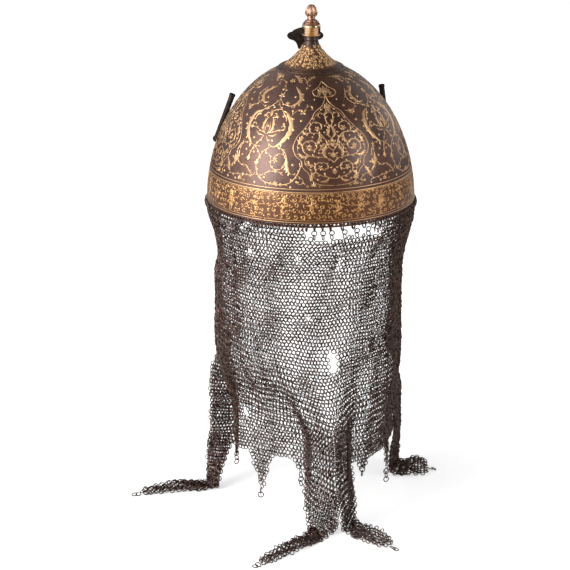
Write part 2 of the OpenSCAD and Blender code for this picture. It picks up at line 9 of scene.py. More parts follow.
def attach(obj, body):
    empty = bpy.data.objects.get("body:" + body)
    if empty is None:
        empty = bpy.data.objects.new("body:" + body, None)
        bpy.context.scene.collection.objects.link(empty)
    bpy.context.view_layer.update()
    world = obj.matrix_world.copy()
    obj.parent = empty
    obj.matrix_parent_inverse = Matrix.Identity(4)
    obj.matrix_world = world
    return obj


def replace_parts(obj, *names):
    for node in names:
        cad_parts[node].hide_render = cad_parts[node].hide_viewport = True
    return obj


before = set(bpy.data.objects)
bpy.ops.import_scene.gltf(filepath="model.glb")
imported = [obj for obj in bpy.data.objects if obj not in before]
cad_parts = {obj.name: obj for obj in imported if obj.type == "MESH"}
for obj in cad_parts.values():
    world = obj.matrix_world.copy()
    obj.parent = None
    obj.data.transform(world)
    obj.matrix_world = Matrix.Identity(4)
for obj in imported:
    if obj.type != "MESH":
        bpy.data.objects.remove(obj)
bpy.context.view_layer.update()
rng = np.random.default_rng(11)
MM = 0.001

# Sizes of the bowl in mm, and places on it in degrees from the back towards +X
BOWL_R, BOWL_H, BOWL_WALL = 102.5, 139.7, 1.4
INNER_R, INNER_H = BOWL_R - BOWL_WALL, BOWL_H - BOWL_WALL
RIM_COUNT, RIM_HOLE_R, RIM_HOLE_Z = 168, 1.0, 2.3
STUD_HOLE_R = 2.35
CARTOUCHE, MEDALLION = 10.6, -34.4
REPEATS = 4                             # times that the dome's pattern comes round
BAND_LOW, BAND_HIGH = 6.2, 32.6         # the border's ground
FLOOR_Z = -314.0

# Settings that many shader nodes share
SOFT = {"interpolation_type": "SMOOTHSTEP"}
COLOURS = {"data_type": "RGBA", "out": 2}
TIMES, PLUS, MOST = ({"operation": word} for word in ("MULTIPLY", "ADD", "MAXIMUM"))


def linear(colour):
    """An sRGB hex colour as the linear numbers that a shader takes."""
    parts = [int(colour[i:i + 2], 16) / 255 for i in (1, 3, 5)]
    return (*[c / 12.92 if c <= 0.04045 else ((c + 0.055) / 1.055) ** 2.4 for c in parts], 1)


def add(tree, kind, feeds=(), out=0, **settings):
    """Adds a shader node with its settings and links. feeds go to its inputs in order, or by
    name or number: numbers, colours or other nodes' outputs. Returns the output asked for, or
    all of them where out is None."""
    node = tree.nodes.new("ShaderNode" + kind)
    for setting, value in settings.items():
        setattr(node, setting, value)
    feeds = feeds if isinstance(feeds, dict) else dict(enumerate(feeds))
    for place, feed in feeds.items():
        if isinstance(feed, bpy.types.NodeSocket):
            tree.links.new(feed, node.inputs[place])
        else:
            node.inputs[place].default_value = feed
    if out is None:
        return node.outputs
    return node.outputs[out] if len(node.outputs) else None


def start_material(name):
    """A new material with an empty tree, and the tree."""
    material = bpy.data.materials.new(name)
    material.use_nodes = True
    material.node_tree.nodes.clear()
    return material, material.node_tree


def russet_steel(name):
    """Steel browned by heat and oil. Deep red-brown with a soft oily sheen, paler where hands
    have rubbed it and spotted with old rust. The border carries a worn gold ground."""
    material, tree = start_material(name)
    place = add(tree, "TexCoord", out=3)
    # Size in mm, detail and roughness of the clouds, rust spots, grain, rubs and worn places
    cloud, spots, grain, rubs, worn = [
        add(tree, "TexNoise", {"Vector": place, "Scale": 1000 / size, "Detail": detail,
                               "Roughness": rough})
        for size, detail, rough in ((42, 4, 0.6), (3.2, 5, 0.65), (0.7, 2, 0.55),
                                    (1.6, 5, 0.75), (7, 4, 0.65))]
    share = add(tree, "MapRange", [cloud, 0.38, 0.66], **SOFT)
    colour = add(tree, "Mix", {0: share, 6: linear("#4e3024"), 7: linear("#694536")}, **COLOURS)
    share = add(tree, "MapRange", [spots, 0.52, 0.7, 0, 0.8], **SOFT)
    colour = add(tree, "Mix", {0: share, 6: colour, 7: linear("#2a1c16")}, **COLOURS)
    share = add(tree, "Math", [add(tree, "MapRange", [rubs, 0.58, 0.72, 0, 0.5], **SOFT),
                               add(tree, "MapRange", [cloud, 0.45, 0.62], **SOFT)], **TIMES)
    colour = add(tree, "Mix", {0: share, 6: colour, 7: linear("#a08674")}, **COLOURS)
    sheen = add(tree, "MapRange", [cloud, 0.3, 0.7, 0.4, 0.52], **SOFT)
    bumps = add(tree, "Bump", {"Height": grain, "Distance": 0.012 * MM})
    height, soft_edge = add(tree, "SeparateXYZ", [place], out=2), 0.5
    low, high = ([height, edge * MM, (edge + soft_edge) * MM]
                 for edge in (BAND_LOW, BAND_HIGH - soft_edge))
    inside = add(tree, "Math", [add(tree, "MapRange", low, **SOFT),
                                add(tree, "MapRange", high + [1, 0], **SOFT)], **TIMES)
    flecks = add(tree, "TexVoronoi", {"Vector": place, "Scale": 1000 / 1.5,
                                      "Randomness": 0.9}, feature="DISTANCE_TO_EDGE")
    leaf = add(tree, "Math", [add(tree, "MapRange", [flecks, 0.22, 0.36], **SOFT),
                              add(tree, "MapRange", [worn, 0.4, 0.6, 0.55, 0.05], **SOFT)],
               **TIMES)
    leaf = add(tree, "Math", [leaf, inside], **TIMES)
    share = add(tree, "Math", [inside, 0.8], **TIMES)
    colour = add(tree, "Mix", {0: share, 6: colour, 7: linear("#6b4427")}, **COLOURS)
    colour = add(tree, "Mix", {0: leaf, 6: colour, 7: linear("#bd8448")}, **COLOURS)
    bumps = add(tree, "Bump", {"Height": leaf, "Distance": 0.05 * MM, "Normal": bumps})
    add(tree, "OutputMaterial", [add(tree, "BsdfPrincipled", {
        "Base Color": colour, "Metallic": 0.72, "Roughness": sheen, "Coat Weight": 0.7,
        "Coat Roughness": 0.3, "Normal": bumps})])
    return material


def gold_inlay(name, lit, worn, polish=0.36):
    """Gold hammered on to steel. Warm and bright with a satin face, and rubbed through in
    places to the brown under it."""
    material, tree = start_material(name)
    place = add(tree, "TexCoord", out=3)
    rubbed = add(tree, "TexNoise", {"Vector": place, "Scale": 1000 / 6, "Detail": 5,
                                    "Roughness": 0.7})
    tool = add(tree, "TexNoise", {"Vector": place, "Scale": 1000 / 1.1, "Detail": 2,
                                  "Roughness": 0.55})
    share = add(tree, "MapRange", [rubbed, 0.56, 0.7, 0, 0.85], **SOFT)
    colour = add(tree, "Mix", {0: share, 6: linear(lit), 7: linear(worn)}, **COLOURS)
    satin = add(tree, "MapRange", [tool, 0.3, 0.7, polish - 0.06, polish + 0.12], **SOFT)
    marks = add(tree, "Bump", {"Height": tool, "Distance": 0.03 * MM})
    add(tree, "OutputMaterial", [add(tree, "BsdfPrincipled", {
        "Base Color": colour, "Metallic": 0.95, "Roughness": satin, "Coat Weight": 0.5,
        "Coat Roughness": 0.3, "Normal": marks})])
    return material


def overlaid_steel(name):
    """Steel overlaid with gold leaf in close small scrolls. Reads as a dull gold with a brown
    ground in the hollows, and catches the light in sparks. Its ground is redder on the cone,
    near black at the neck with painted shade under the collar, and deep brown along the foot."""
    material, tree = start_material(name)
    place = add(tree, "TexCoord", out=3)
    bend = add(tree, "TexNoise", {"Vector": place, "Scale": 1000 / 2}, out=1)
    bend = add(tree, "VectorMath", [bend, (1.4 * MM, 1.4 * MM, 1.4 * MM)], **TIMES)
    bent = add(tree, "VectorMath", [place, bend], **PLUS)
    curls = add(tree, "TexVoronoi", {"Vector": bent, "Scale": 1000 / 1.9, "Randomness": 0.8},
                feature="DISTANCE_TO_EDGE")
    worn = add(tree, "TexNoise", {"Vector": place, "Scale": 1000 / 7, "Detail": 4,
                                  "Roughness": 0.55})
    leaf = add(tree, "Math", [add(tree, "MapRange", [curls, 0.26, 0.4], **SOFT),
                              add(tree, "MapRange", [worn, 0.4, 0.62, 0.8, 0], **SOFT)], **TIMES)
    height = add(tree, "SeparateXYZ", [place], out=2)
    # Painted shade: the ground darkens to near black up towards the neck, under the collar's
    # overhang
    share = add(tree, "MapRange", [height, 148 * MM, 157 * MM], **SOFT)
    ground = add(tree, "Mix", {0: share, 6: linear("#6d4c38"), 7: linear("#3f2d25")}, **COLOURS)
    share = add(tree, "MapRange", [height, 135.2 * MM, 136.6 * MM, 1, 0], **SOFT)
    ground = add(tree, "Mix", {0: share, 6: ground, 7: linear("#493227")}, **COLOURS)
    colour = add(tree, "Mix", {0: leaf, 6: ground, 7: linear("#a87a4e")}, **COLOURS)
    bumps = add(tree, "Bump", {"Height": leaf, "Distance": 0.06 * MM})
    add(tree, "OutputMaterial", [add(tree, "BsdfPrincipled", {
        "Base Color": colour, "Metallic": 0.65, "Roughness": 0.38, "Coat Weight": 0.25,
        "Coat Roughness": 0.36, "Normal": bumps})])
    return material


def turned_metal(name, bright, dull, polish, dirt):
    """Brass or gilt copper turned on a lathe and polished, with tarnish left in hollows about
    dirt mm across and hair-fine rings from the tool."""
    material, tree = start_material(name)
    place = add(tree, "TexCoord", out=3)
    stain = add(tree, "TexNoise", {"Vector": place, "Scale": 1000 / dirt, "Detail": 5,
                                   "Roughness": 0.65})
    height = add(tree, "Math", [add(tree, "SeparateXYZ", [place], out=2), 1000 / 1.4], **TIMES)
    rings = add(tree, "TexNoise", {"W": height, "Scale": 1.0, "Detail": 1.0},
                noise_dimensions="1D")
    share = add(tree, "MapRange", [stain, 0.5, 0.72, 0, 0.8], **SOFT)
    colour = add(tree, "Mix", {0: share, 6: linear(bright), 7: linear(dull)}, **COLOURS)
    gloss = add(tree, "MapRange", [stain, 0.35, 0.75, polish, polish + 0.14], **SOFT)
    bumps = add(tree, "Bump", {"Height": rings, "Distance": 0.005 * MM})
    add(tree, "OutputMaterial", [add(tree, "BsdfPrincipled", {
        "Base Color": colour, "Metallic": 0.97, "Roughness": gloss, "Normal": bumps})])
    return material


def forged_iron(name, dark, pale, rust, size, polish=0.4):
    """Forged iron, dark with oil and age. Edges and high spots show paler metal in blotches of
    size mm, and rust blooms in patches, so that no two places are quite the same."""
    material, tree = start_material(name)
    place = add(tree, "TexCoord", out=3)
    blotch, bloom, fine = [
        add(tree, "TexNoise", {"Vector": place, "Scale": 1000 / grain, "Detail": detail,
                               "Roughness": rough})
        for grain, detail, rough in ((size, 4, 0.6), (size * 5, 5, 0.6), (0.6, 3, 0.55))]
    share = add(tree, "MapRange", [blotch, 0.36, 0.68], **SOFT)
    colour = add(tree, "Mix", {0: share, 6: linear(dark), 7: linear(pale)}, **COLOURS)
    rusty = add(tree, "MapRange", [bloom, 0.52, 0.68, 0, 0.7], **SOFT)
    colour = add(tree, "Mix", {0: rusty, 6: colour, 7: linear(rust)}, **COLOURS)
    gloss = add(tree, "MapRange", [blotch, 0.3, 0.7, polish, polish + 0.14], **SOFT)
    gloss = add(tree, "Math", [gloss, add(tree, "Math", [rusty, 0.12], **TIMES)], **PLUS)
    bumps = add(tree, "Bump", {"Height": fine, "Distance": 0.02 * MM})
    add(tree, "OutputMaterial", [add(tree, "BsdfPrincipled", {
        "Base Color": colour, "Metallic": 0.88, "Roughness": gloss, "Normal": bumps})])
    return material


browned = russet_steel("russet steel, browned and inlaid")
gold = gold_inlay("gold inlay, hammered and worn", "#dcb080", "#86603f")
border_gold = gold_inlay("border gold, fine and rubbed", "#e0ac70", "#7c5536", 0.34)
mount_gold = gold_inlay("mount gold, rubbed thin", "#e4b67e", "#946a48", 0.3)
gilt = overlaid_steel("steel overlaid with gold scrolls")
brass = turned_metal("brass, turned and polished", "#e8c79c", "#b88a58", 0.1, 9.0)
copper_gilt = turned_metal("gilt copper, cast and chased", "#b8917c", "#6e5042", 0.28, 4.5)
fittings = forged_iron("forged iron, oiled", "#4b4039", "#75665c", "#5a3d2d", 2.5)
nasal_iron = forged_iron("nasal steel, blackened", "#2c2622", "#463c36", "#3d2a20", 6, 0.5)
mail_iron = forged_iron("mail wire, drawn iron", "#33241f", "#89736b", "#4e3025", 3.4, 0.22)


def weld(points, faces):
    """Joins points that lie in the same place."""
    points = np.asarray(points, float)
    _, first, where = np.unique(np.round(points, 3), axis=0, return_index=True,
                                return_inverse=True)
    return points[first], where.ravel()[np.asarray(faces)]


def piece(name, points, faces, material, body="helmet", sharp=38):
    """A piece of the helmet from points in mm and faces that all have as many corners."""
    faces = np.asarray(faces)
    mesh = bpy.data.meshes.new(name)
    mesh.vertices.add(len(points))
    mesh.vertices.foreach_set("co", (np.asarray(points, float) * MM).ravel())
    mesh.loops.add(faces.size)
    mesh.loops.foreach_set("vertex_index", faces.ravel())
    mesh.polygons.add(len(faces))
    mesh.polygons.foreach_set("loop_start", np.arange(len(faces)) * faces.shape[1])
    mesh.update(calc_edges=True)
    mesh.shade_smooth()
    if sharp:
        mesh.set_sharp_from_angle(angle=math.radians(sharp))
    mesh.materials.append(material)
    made = bpy.data.objects.new(name, mesh)
    bpy.context.scene.collection.objects.link(made)
    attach(made, body)
    return made


def lathe(outline, count, closed=True, swell=None):
    """Points and faces of an outline of (radius, height) turned about the helmet's axis.
    swell(turns, radius, height) may move the surface out."""
    outline = np.asarray(outline, float)
    turns = np.linspace(0, 2 * np.pi, count, endpoint=False)
    r = np.repeat(outline[:, :1], count, 1)
    z = np.repeat(outline[:, 1:], count, 1)
    if swell is not None:
        r = r + swell(turns[None, :], r, z)
    points = np.stack([r * np.cos(turns), r * np.sin(turns), z], 2).reshape(-1, 3)
    rows = len(outline)
    k, i = np.meshgrid(np.arange(rows if closed else rows - 1), np.arange(count), indexing="ij")
    up, along = (k + 1) % rows, (i + 1) % count
    faces = np.stack([k * count + i, k * count + along, up * count + along, up * count + i], 2)
    return points, faces.reshape(-1, 4)


def unit(v):
    """Directions made one long."""
    return v / np.maximum(1e-9, np.linalg.norm(v, axis=-1, keepdims=True))


def smooth_line(points, spans=6):
    """A smooth curve through points, with spans steps between each two."""
    p = np.asarray(points, float)
    p = np.vstack([2 * p[0] - p[1], p, 2 * p[-1] - p[-2]])
    out = []
    for i in range(len(p) - 3):
        a, b, c, d = p[i:i + 4]
        for t in np.arange(spans) / spans:
            out.append(0.5 * (2 * b + (c - a) * t + (2 * a - 5 * b + 4 * c - d) * t * t
                              + (3 * b - a - 3 * c + d) * t ** 3))
    out.append(p[-2])
    return np.array(out)


def dome_r(z):
    """The bowl's outer radius at a height."""
    return BOWL_R * np.sqrt(np.maximum(0, 1 - (np.asarray(z) / BOWL_H) ** 2))


def dome_z(r):
    """The bowl's height at a radius."""
    return BOWL_H * np.sqrt(np.maximum(0, 1 - (np.asarray(r) / BOWL_R) ** 2))


def bowl_skins():
    """Points and faces of the outer and the inner skin, from the strip with the rim's holes up
    to the hole in the crown."""
    points, faces = [], []
    for r, h, rows, flip in ((BOWL_R, BOWL_H, 64, 1), (INNER_R, INNER_H, 34, -1)):
        low, top = math.asin(2 * RIM_HOLE_Z / h), math.acos(STUD_HOLE_R / r)
        lift = np.linspace(low, top, rows)
        outline = np.stack([r * np.cos(lift), h * np.sin(lift)], 1)
        skin, cells = lathe(outline, 3 * RIM_COUNT, False)
        faces.append((cells if flip > 0 else cells[:, ::-1]) + sum(map(len, points)))
        points.append(skin)
    return points, faces


def rim_rings():
    """A rim hole as rings of twelve flat points, from its cell's outline on the outer skin to
    that on the inner one, each with the radius and height of its skin."""
    edge_wide, edge_deep = 0.16, 0.14   # how far the hole's outer edge is worn
    cell = [(-1, -1), (-1 / 3, -1), (1 / 3, -1), (1, -1), (1, -1 / 3), (1, 1 / 3), (1, 1),
            (1 / 3, 1), (-1 / 3, 1), (-1, 1), (-1, 1 / 3), (-1, -1 / 3)]
    cell = np.array(cell) * (math.pi * BOWL_R / RIM_COUNT, RIM_HOLE_Z)
    around = np.radians(np.arange(12) * 30 - 135)
    circle = np.stack([np.cos(around), np.sin(around)], 1)
    return [(cell, BOWL_R, BOWL_H), ((RIM_HOLE_R + edge_wide) * circle, BOWL_R, BOWL_H),
            (RIM_HOLE_R * circle, BOWL_R - edge_deep, BOWL_H),
            (RIM_HOLE_R * circle, INNER_R, INNER_H), (cell, INNER_R, INNER_H)]


def build_bowl():
    """The raised bowl: an outer and an inner skin, joined by the rim's edge and by the walls of
    the holes that the hanger rings go through."""
    points, faces = bowl_skins()
    rings = rim_rings()
    for hole in range(RIM_COUNT):
        middle = (hole + 0.5) * 2 * math.pi / RIM_COUNT
        start = sum(map(len, points))
        for flat, r, h in rings:
            turn = middle + flat[:, 0] / BOWL_R
            z = flat[:, 1] + RIM_HOLE_Z
            reach = r * np.sqrt(1 - (z / h) ** 2)
            points.append(np.stack([reach * np.cos(turn), reach * np.sin(turn), z], 1))
        i = np.arange(12)
        for k in range(len(rings) - 1):
            a, b = start + 12 * k, start + 12 * (k + 1)
            faces.append(np.stack([a + i, a + (i + 1) % 12, b + (i + 1) % 12, b + i], 1))
        # The lower edge between the two skins
        i = np.arange(3)
        faces.append(np.stack([start + i + 1, start + i, start + 48 + i, start + 49 + i], 1))
    points, faces = weld(np.vstack(points), np.vstack(faces))
    made = piece("bowl_skin", points, faces, browned, sharp=32)
    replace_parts(made, "bowl")


build_bowl()


class GoldWork:
    """Gathers raised gold lines, leaves and dots that lie on one surface of the helmet.
    Places on it are (degrees from the back towards +X, height in mm)."""

    def __init__(self, reach, slope_of):
        self.reach, self.slope_of = reach, slope_of
        self.points, self.faces, self.count = [], [], 0

    def settle(self, points, lift):
        """Moves points near the surface on to it, and lift above it."""
        turn = np.arctan2(points[:, 0], -points[:, 1])
        z = points[:, 2]
        r, slope = self.reach(z), self.slope_of(z)
        out = np.stack([np.sin(turn), -np.cos(turn), -slope], 1)
        out /= np.linalg.norm(out, axis=1)[:, None]
        base = np.stack([r * np.sin(turn), -r * np.cos(turn), z], 1)
        return base + out * np.asarray(lift).reshape(-1, 1), out

    def spot(self, turn, z):
        """Place in space, and the directions to the right, up the surface and out of it."""
        angle = np.radians(np.atleast_1d(turn))
        z = np.atleast_1d(np.asarray(z, float))
        r = self.reach(z)
        base = np.stack([r * np.sin(angle), -r * np.cos(angle), z], 1)
        _, out = self.settle(base, 0)
        right = np.stack([np.cos(angle), np.sin(angle), 0 * z], 1)
        return base, right, np.cross(out, right), out

    def band(self, line, width, height):
        """A raised band along a line in space, width wide at each of its points."""
        line = np.asarray(line)
        _, out = self.settle(line, 0)
        ahead = np.gradient(line, axis=0)
        side = np.cross(out, ahead)
        side /= np.maximum(1e-9, np.linalg.norm(side, axis=1))[:, None]
        across = np.array([-1, -0.7, 0, 0.7, 1]) / 2
        lifts = np.array([-0.04, 1, 1.25, 1, -0.04]) * height
        n = len(line)
        raised = (line[:, None] + side[:, None] * (across[None, :, None] * width[:, None, None]))
        rows, _ = self.settle(raised.reshape(-1, 3), np.tile(lifts, n))
        k, i = np.meshgrid(np.arange(n - 1) * 5, np.arange(4), indexing="ij")
        a = self.count + k + i
        self.points.append(rows)
        self.faces.append(np.stack([a, a + 1, a + 6, a + 5], 2).reshape(-1, 4))
        self.count += len(rows)

    def stroke(self, places, width, form="stem", height=0.13, mirror=False, sprouts=True):
        """A smooth band through places, repeated round the helmet."""
        for flip in ((1, -1) if mirror else (1,)):
            for turn in range(REPEATS):
                path = np.array(places, float)
                if flip < 0:
                    path[:, 0] = 2 * CARTOUCHE - path[:, 0]
                path[:, 0] += turn * 360 / REPEATS
                path = smooth_line(path)
                base = self.spot(path[:, 0], path[:, 1])[0]
                hand = 1 + 0.16 * np.sin(np.arange(len(base)) * 0.9 + rng.uniform(0, 6))
                self.band(base, width * profile(base, form) * hand, height)
                if form == "stem" and sprouts:
                    self.sprout(base, width, height)
                if form == "leaf" and width > 2:
                    self.lobes(base, width, height)

    def sprout(self, base, width, height):
        """Small pointed leaves that grow from a stem, now on one side, now on the other."""
        step = np.linalg.norm(np.diff(base, axis=0), axis=1)
        run = np.concatenate([[0], np.cumsum(step)])
        way = 1
        for at in np.arange(3.5, run[-1] - 2.5, 5.6):
            at += rng.uniform(-1, 1)
            root = np.array([np.interp(at, run, base[:, axis]) for axis in range(3)])
            tip = np.array([np.interp(at + 0.5, run, base[:, axis]) for axis in range(3)])
            ahead = unit(tip - root)
            _, out = self.settle(root[None], 0)
            side = np.cross(out[0], ahead) * way
            long = rng.uniform(1.9, 3.1)
            t = np.linspace(0, 1, 7)[:, None]
            leaf = root + long * (t * ahead * 0.85 + t ** 1.5 * side * 0.8)
            self.band(leaf, (width * 0.7 + 0.65) * profile(leaf, "leaf"), height)
            way = -way

    def lobes(self, base, width, height):
        """Small lobes along the outer side of a curling leaf."""
        n = len(base)
        _, out = self.settle(base, 0)
        ahead = unit(np.gradient(base, axis=0))
        side = np.cross(out, ahead)
        bow = base[n // 2] - (base[0] + base[-1]) / 2
        way = 1 if np.dot(bow, side[n // 2]) > 0 else -1
        for share in (0.3, 0.48, 0.66, 0.82):
            k = int(share * n)
            long = rng.uniform(0.55, 0.8) * width + 0.7
            t = np.linspace(0, 1, 7)[:, None]
            root = base[k] + way * side[k] * 0.22 * width
            lobe = root + long * (t * ahead[k] * 0.9 + t ** 1.6 * way * side[k] * 0.75)
            self.band(lobe, 0.42 * width * profile(lobe, "leaf") + 0.15, height)

    def curve(self, turn, z, flat, width, form="stem", height=0.13):
        """A band along flat, a line of (right, up) in mm from one place."""
        base, right, up, _ = self.spot(turn, z)
        flat = np.asarray(flat, float)
        line = base + flat[:, :1] * right + flat[:, 1:] * up
        self.band(line, width * profile(line, form), height)

    def spiral(self, turn, z, size, start, turns, width=0.6, height=0.11, points=26):
        """A curl that winds in from size to its middle."""
        t = np.linspace(0, 1, points)
        angle = np.radians(start) + turns * 2 * np.pi * t
        r = size * (1 - 0.86 * t ** 0.8)
        self.curve(turn, z, np.stack([r * np.cos(angle), r * np.sin(angle)], 1), width,
                   "stem", height)

    def burst(self, turn, z, size, count, spread, aim=90.0, inner=0.15, fat=0.42, height=0.16):
        """Leaves that fan out of one place: a flower, a tulip or a palmette."""
        full = spread >= 359
        for k in range(count):
            share = k / count - 0.5 if full else (k / max(1, count - 1) - 0.5)
            angle = math.radians(aim + share * spread)
            t = np.linspace(inner, 1, 9)
            long = size * (1 if full else 1 - 0.25 * abs(share) * 2)
            bow = 0.12 * size * share * 2 * np.sin(np.pi * t) * (0 if full else 1)
            flat = np.stack([long * t * math.cos(angle) + bow * math.sin(angle),
                             long * t * math.sin(angle) - bow * math.cos(angle)], 1)
            self.curve(turn, z, flat, long * fat, "leaf", height)

    def dot(self, turn, z, size, height=0.22):
        """A round bead of gold."""
        base, right, up, _ = self.spot(turn, z)
        around = np.linspace(0, 2 * np.pi, 12, endpoint=False)
        rows, lifts = [], []
        for share, lift in ((1, -0.04), (0.82, 0.75), (0.4, 1)):
            ring = share * size * (np.cos(around)[:, None] * right + np.sin(around)[:, None] * up)
            rows.append(base + ring)
            lifts += [lift * height] * 12
        settled, _ = self.settle(np.vstack(rows), np.array(lifts))
        i = np.arange(12)
        for k in range(2):
            a, b = self.count + 12 * k, self.count + 12 * (k + 1)
            self.faces.append(np.stack([a + i, a + (i + 1) % 12, b + (i + 1) % 12, b + i], 1))
        top = self.count + 24
        self.faces.append(np.array([[top, top + k, top + k + 1, top + k + 2]
                                    for k in range(1, 11, 2)]))
        self.points.append(settled)
        self.count += len(settled)

    def ring(self, z, width, height=0.14, count=360):
        """A line right round the helmet."""
        turn = np.linspace(0, 360, count + 1)
        self.band(self.spot(turn, np.full(count + 1, z))[0], np.full(count + 1, width), height)

    def finish(self, name, material):
        """Makes one piece of all that was gathered."""
        piece(name, np.vstack(self.points), np.vstack(self.faces), material, sharp=60)


def profile(line, form):
    """Width of a band along its length, from 0 to 1."""
    step = np.linalg.norm(np.diff(line, axis=0), axis=1)
    t = np.minimum(1, np.concatenate([[0], np.cumsum(step)]) / max(1e-9, step.sum()))
    if form == "leaf":
        return np.maximum(0.05, np.sin(np.pi * t) ** 0.75)
    return np.clip(np.minimum(t, 1 - t) * max(3.0, step.sum() / 0.9), 0.08, 1)


def repeats(turn):
    """The four places round the helmet where a place of the pattern comes back."""
    return [turn + k * 360 / REPEATS for k in range(REPEATS)]


def dome_slope(z):
    """How fast the dome's radius changes with height."""
    z = np.minimum(np.asarray(z, float), BOWL_H * 0.999)
    return -BOWL_R * z / (BOWL_H ** 2 * np.sqrt(1 - (z / BOWL_H) ** 2))


def field_frames(work):
    """Frames of the fields, each from its peak round one side to the middle of its foot, and the
    palmettes over their peaks."""
    half = [(10.6, 117.4), (8.6, 112.6), (5.2, 108.4), (-0.2, 104), (-3, 98), (-8.2, 89.3),
            (-12.2, 83), (-14.2, 74.4), (-12.4, 67.2), (-9, 62.6), (-8, 57), (-4.6, 51.6),
            (-1.8, 44), (2.5, 41), (10.6, 39.9)]
    work.stroke(half, 0.8, mirror=True, sprouts=False)
    inner = [(10.6 + (a - 10.6) * 0.9, 79 + (z - 79) * 0.93) for a, z in half[1:-1]]
    work.stroke(inner, 0.34, mirror=True, height=0.08, sprouts=False)
    for at in repeats(CARTOUCHE):
        work.burst(at, 118.2, 9.5, 7, 150, inner=0.25, fat=0.3)
        work.spiral(at - 6, 118.2, 1.9, 200, 1.2)
        work.spiral(at + 6, 118.2, 1.9, -20, -1.2)
        work.dot(at, 118.4, 1.5)
    outline = [(10.6, 128), (7.6, 125.6), (3.2, 122.8), (-1.4, 120.6), (-0.2, 117.8), (4.4, 116.2),
               (10.6, 115.8)]
    work.stroke(outline, 0.75, mirror=True, sprouts=False)


def medallions(work):
    """Thick curling leaves, and the blossom that they hold."""
    work.stroke([(-43.5, 103), (-48.8, 100.2), (-50.8, 95.6), (-51.2, 88.7), (-50.1, 84.1),
                 (-47.6, 78.9), (-44.1, 73.9), (-42, 72.9)], 4.2, "leaf")
    work.stroke([(-26.4, 104.2), (-22.6, 103.2), (-20.1, 100), (-17.6, 95.7), (-17.1, 90.3),
                 (-17.8, 86.2), (-20.5, 80.7), (-23.6, 76.1), (-27.5, 72.3)], 4.4, "leaf")
    work.stroke([(-43.5, 103), (-46.8, 98.6), (-47.8, 94.6)], 1.8, "leaf")
    work.stroke([(-26, 104), (-21.8, 99), (-21.2, 95)], 1.8, "leaf")
    for flip in (1, -1):
        def side(places):
            return [(MEDALLION + flip * (a - MEDALLION), z) for a, z in places]

        work.stroke(side([(-34.6, 83.4), (-37.6, 87), (-38.3, 91.3), (-37.2, 96.2), (-35.4, 98.4)]),
                    2.3, "leaf")
        work.stroke(side([(-35.2, 84), (-36.2, 89), (-35.2, 94)]), 1.2, "leaf")
        work.stroke(side([(-36.2, 84.6), (-39.6, 86), (-43.4, 88), (-46.8, 88.4), (-47.4, 91),
                          (-45.4, 91.6), (-44.9, 89.9)]), 1.0)
        work.stroke(side([(-36.4, 97.4), (-38.8, 99), (-38.4, 101.4), (-36.6, 101.2)]), 1.6, "leaf")
        work.stroke(side([(-36, 82.2), (-40.2, 82.8), (-42.6, 85.2)]), 1.5, "leaf")
    work.stroke([(-34.4, 98), (-34.6, 100.4), (-34.4, 103.6)], 2.3, "leaf")


def low_stems(work):
    """Stems that leave the medallions below and cross, and the scrolls that end them."""
    work.stroke([(-35.5, 82.4), (-38.3, 76.2), (-40.9, 71.7), (-42.3, 66.4), (-42.9, 62.6)], 0.81)
    work.stroke([(-34, 82.4), (-31.4, 76.8), (-28, 73), (-24, 73.7), (-19.4, 69.5),
                 (-17.7, 64.9)], 0.81)
    work.stroke([(-42, 72.9), (-38.4, 69.8), (-36.2, 66.4), (-35.6, 62.6), (-36.9, 58.2)], 0.81)
    work.stroke([(-29.1, 73), (-33.2, 68.6), (-35.3, 62.8), (-36.6, 57), (-36, 51), (-33.4, 44.6),
                 (-28.4, 40.6), (-20.8, 39.7), (-14.7, 42.3), (-11.4, 48.6), (-9.4, 55.4),
                 (-9.8, 60.8)], 0.81)
    work.stroke([(-44.2, 74.3), (-48.8, 73.7), (-52, 70.8), (-53.5, 65.4), (-52.4, 59.7),
                 (-49.9, 55.4), (-47.1, 52.7), (-43.4, 53.2), (-41.2, 49.6), (-38.3, 45.5)], 0.81)
    # Round scroll under the right leaf, wound in to a bead
    work.stroke([(-30.6, 67.9), (-28.4, 65.2), (-27.3, 61), (-27.2, 56.8), (-25, 53.7),
                 (-21.4, 53.7), (-18.6, 57), (-17.8, 61.6), (-19, 66.2), (-22.4, 67.8),
                 (-25, 65.4), (-24.9, 61.8)], 0.74)
    work.stroke([(-17.7, 65.5), (-17.5, 59.5), (-16.6, 54), (-14.6, 49.6)], 3.3, "leaf")
    work.stroke([(-14.8, 50.6), (-10.8, 49), (-8.1, 46.1), (-7.5, 42.6), (-9.6, 41),
                 (-10.9, 43)], 0.67)
    work.stroke([(-57.4, 39.9), (-56.2, 42.1), (-47, 44.1), (-38.3, 45.5), (-36.2, 49.2)], 0.74)
    work.stroke([(-35, 43.6), (-30, 49), (-26.1, 51.6), (-21.4, 51.2), (-18.6, 48)], 0.74)


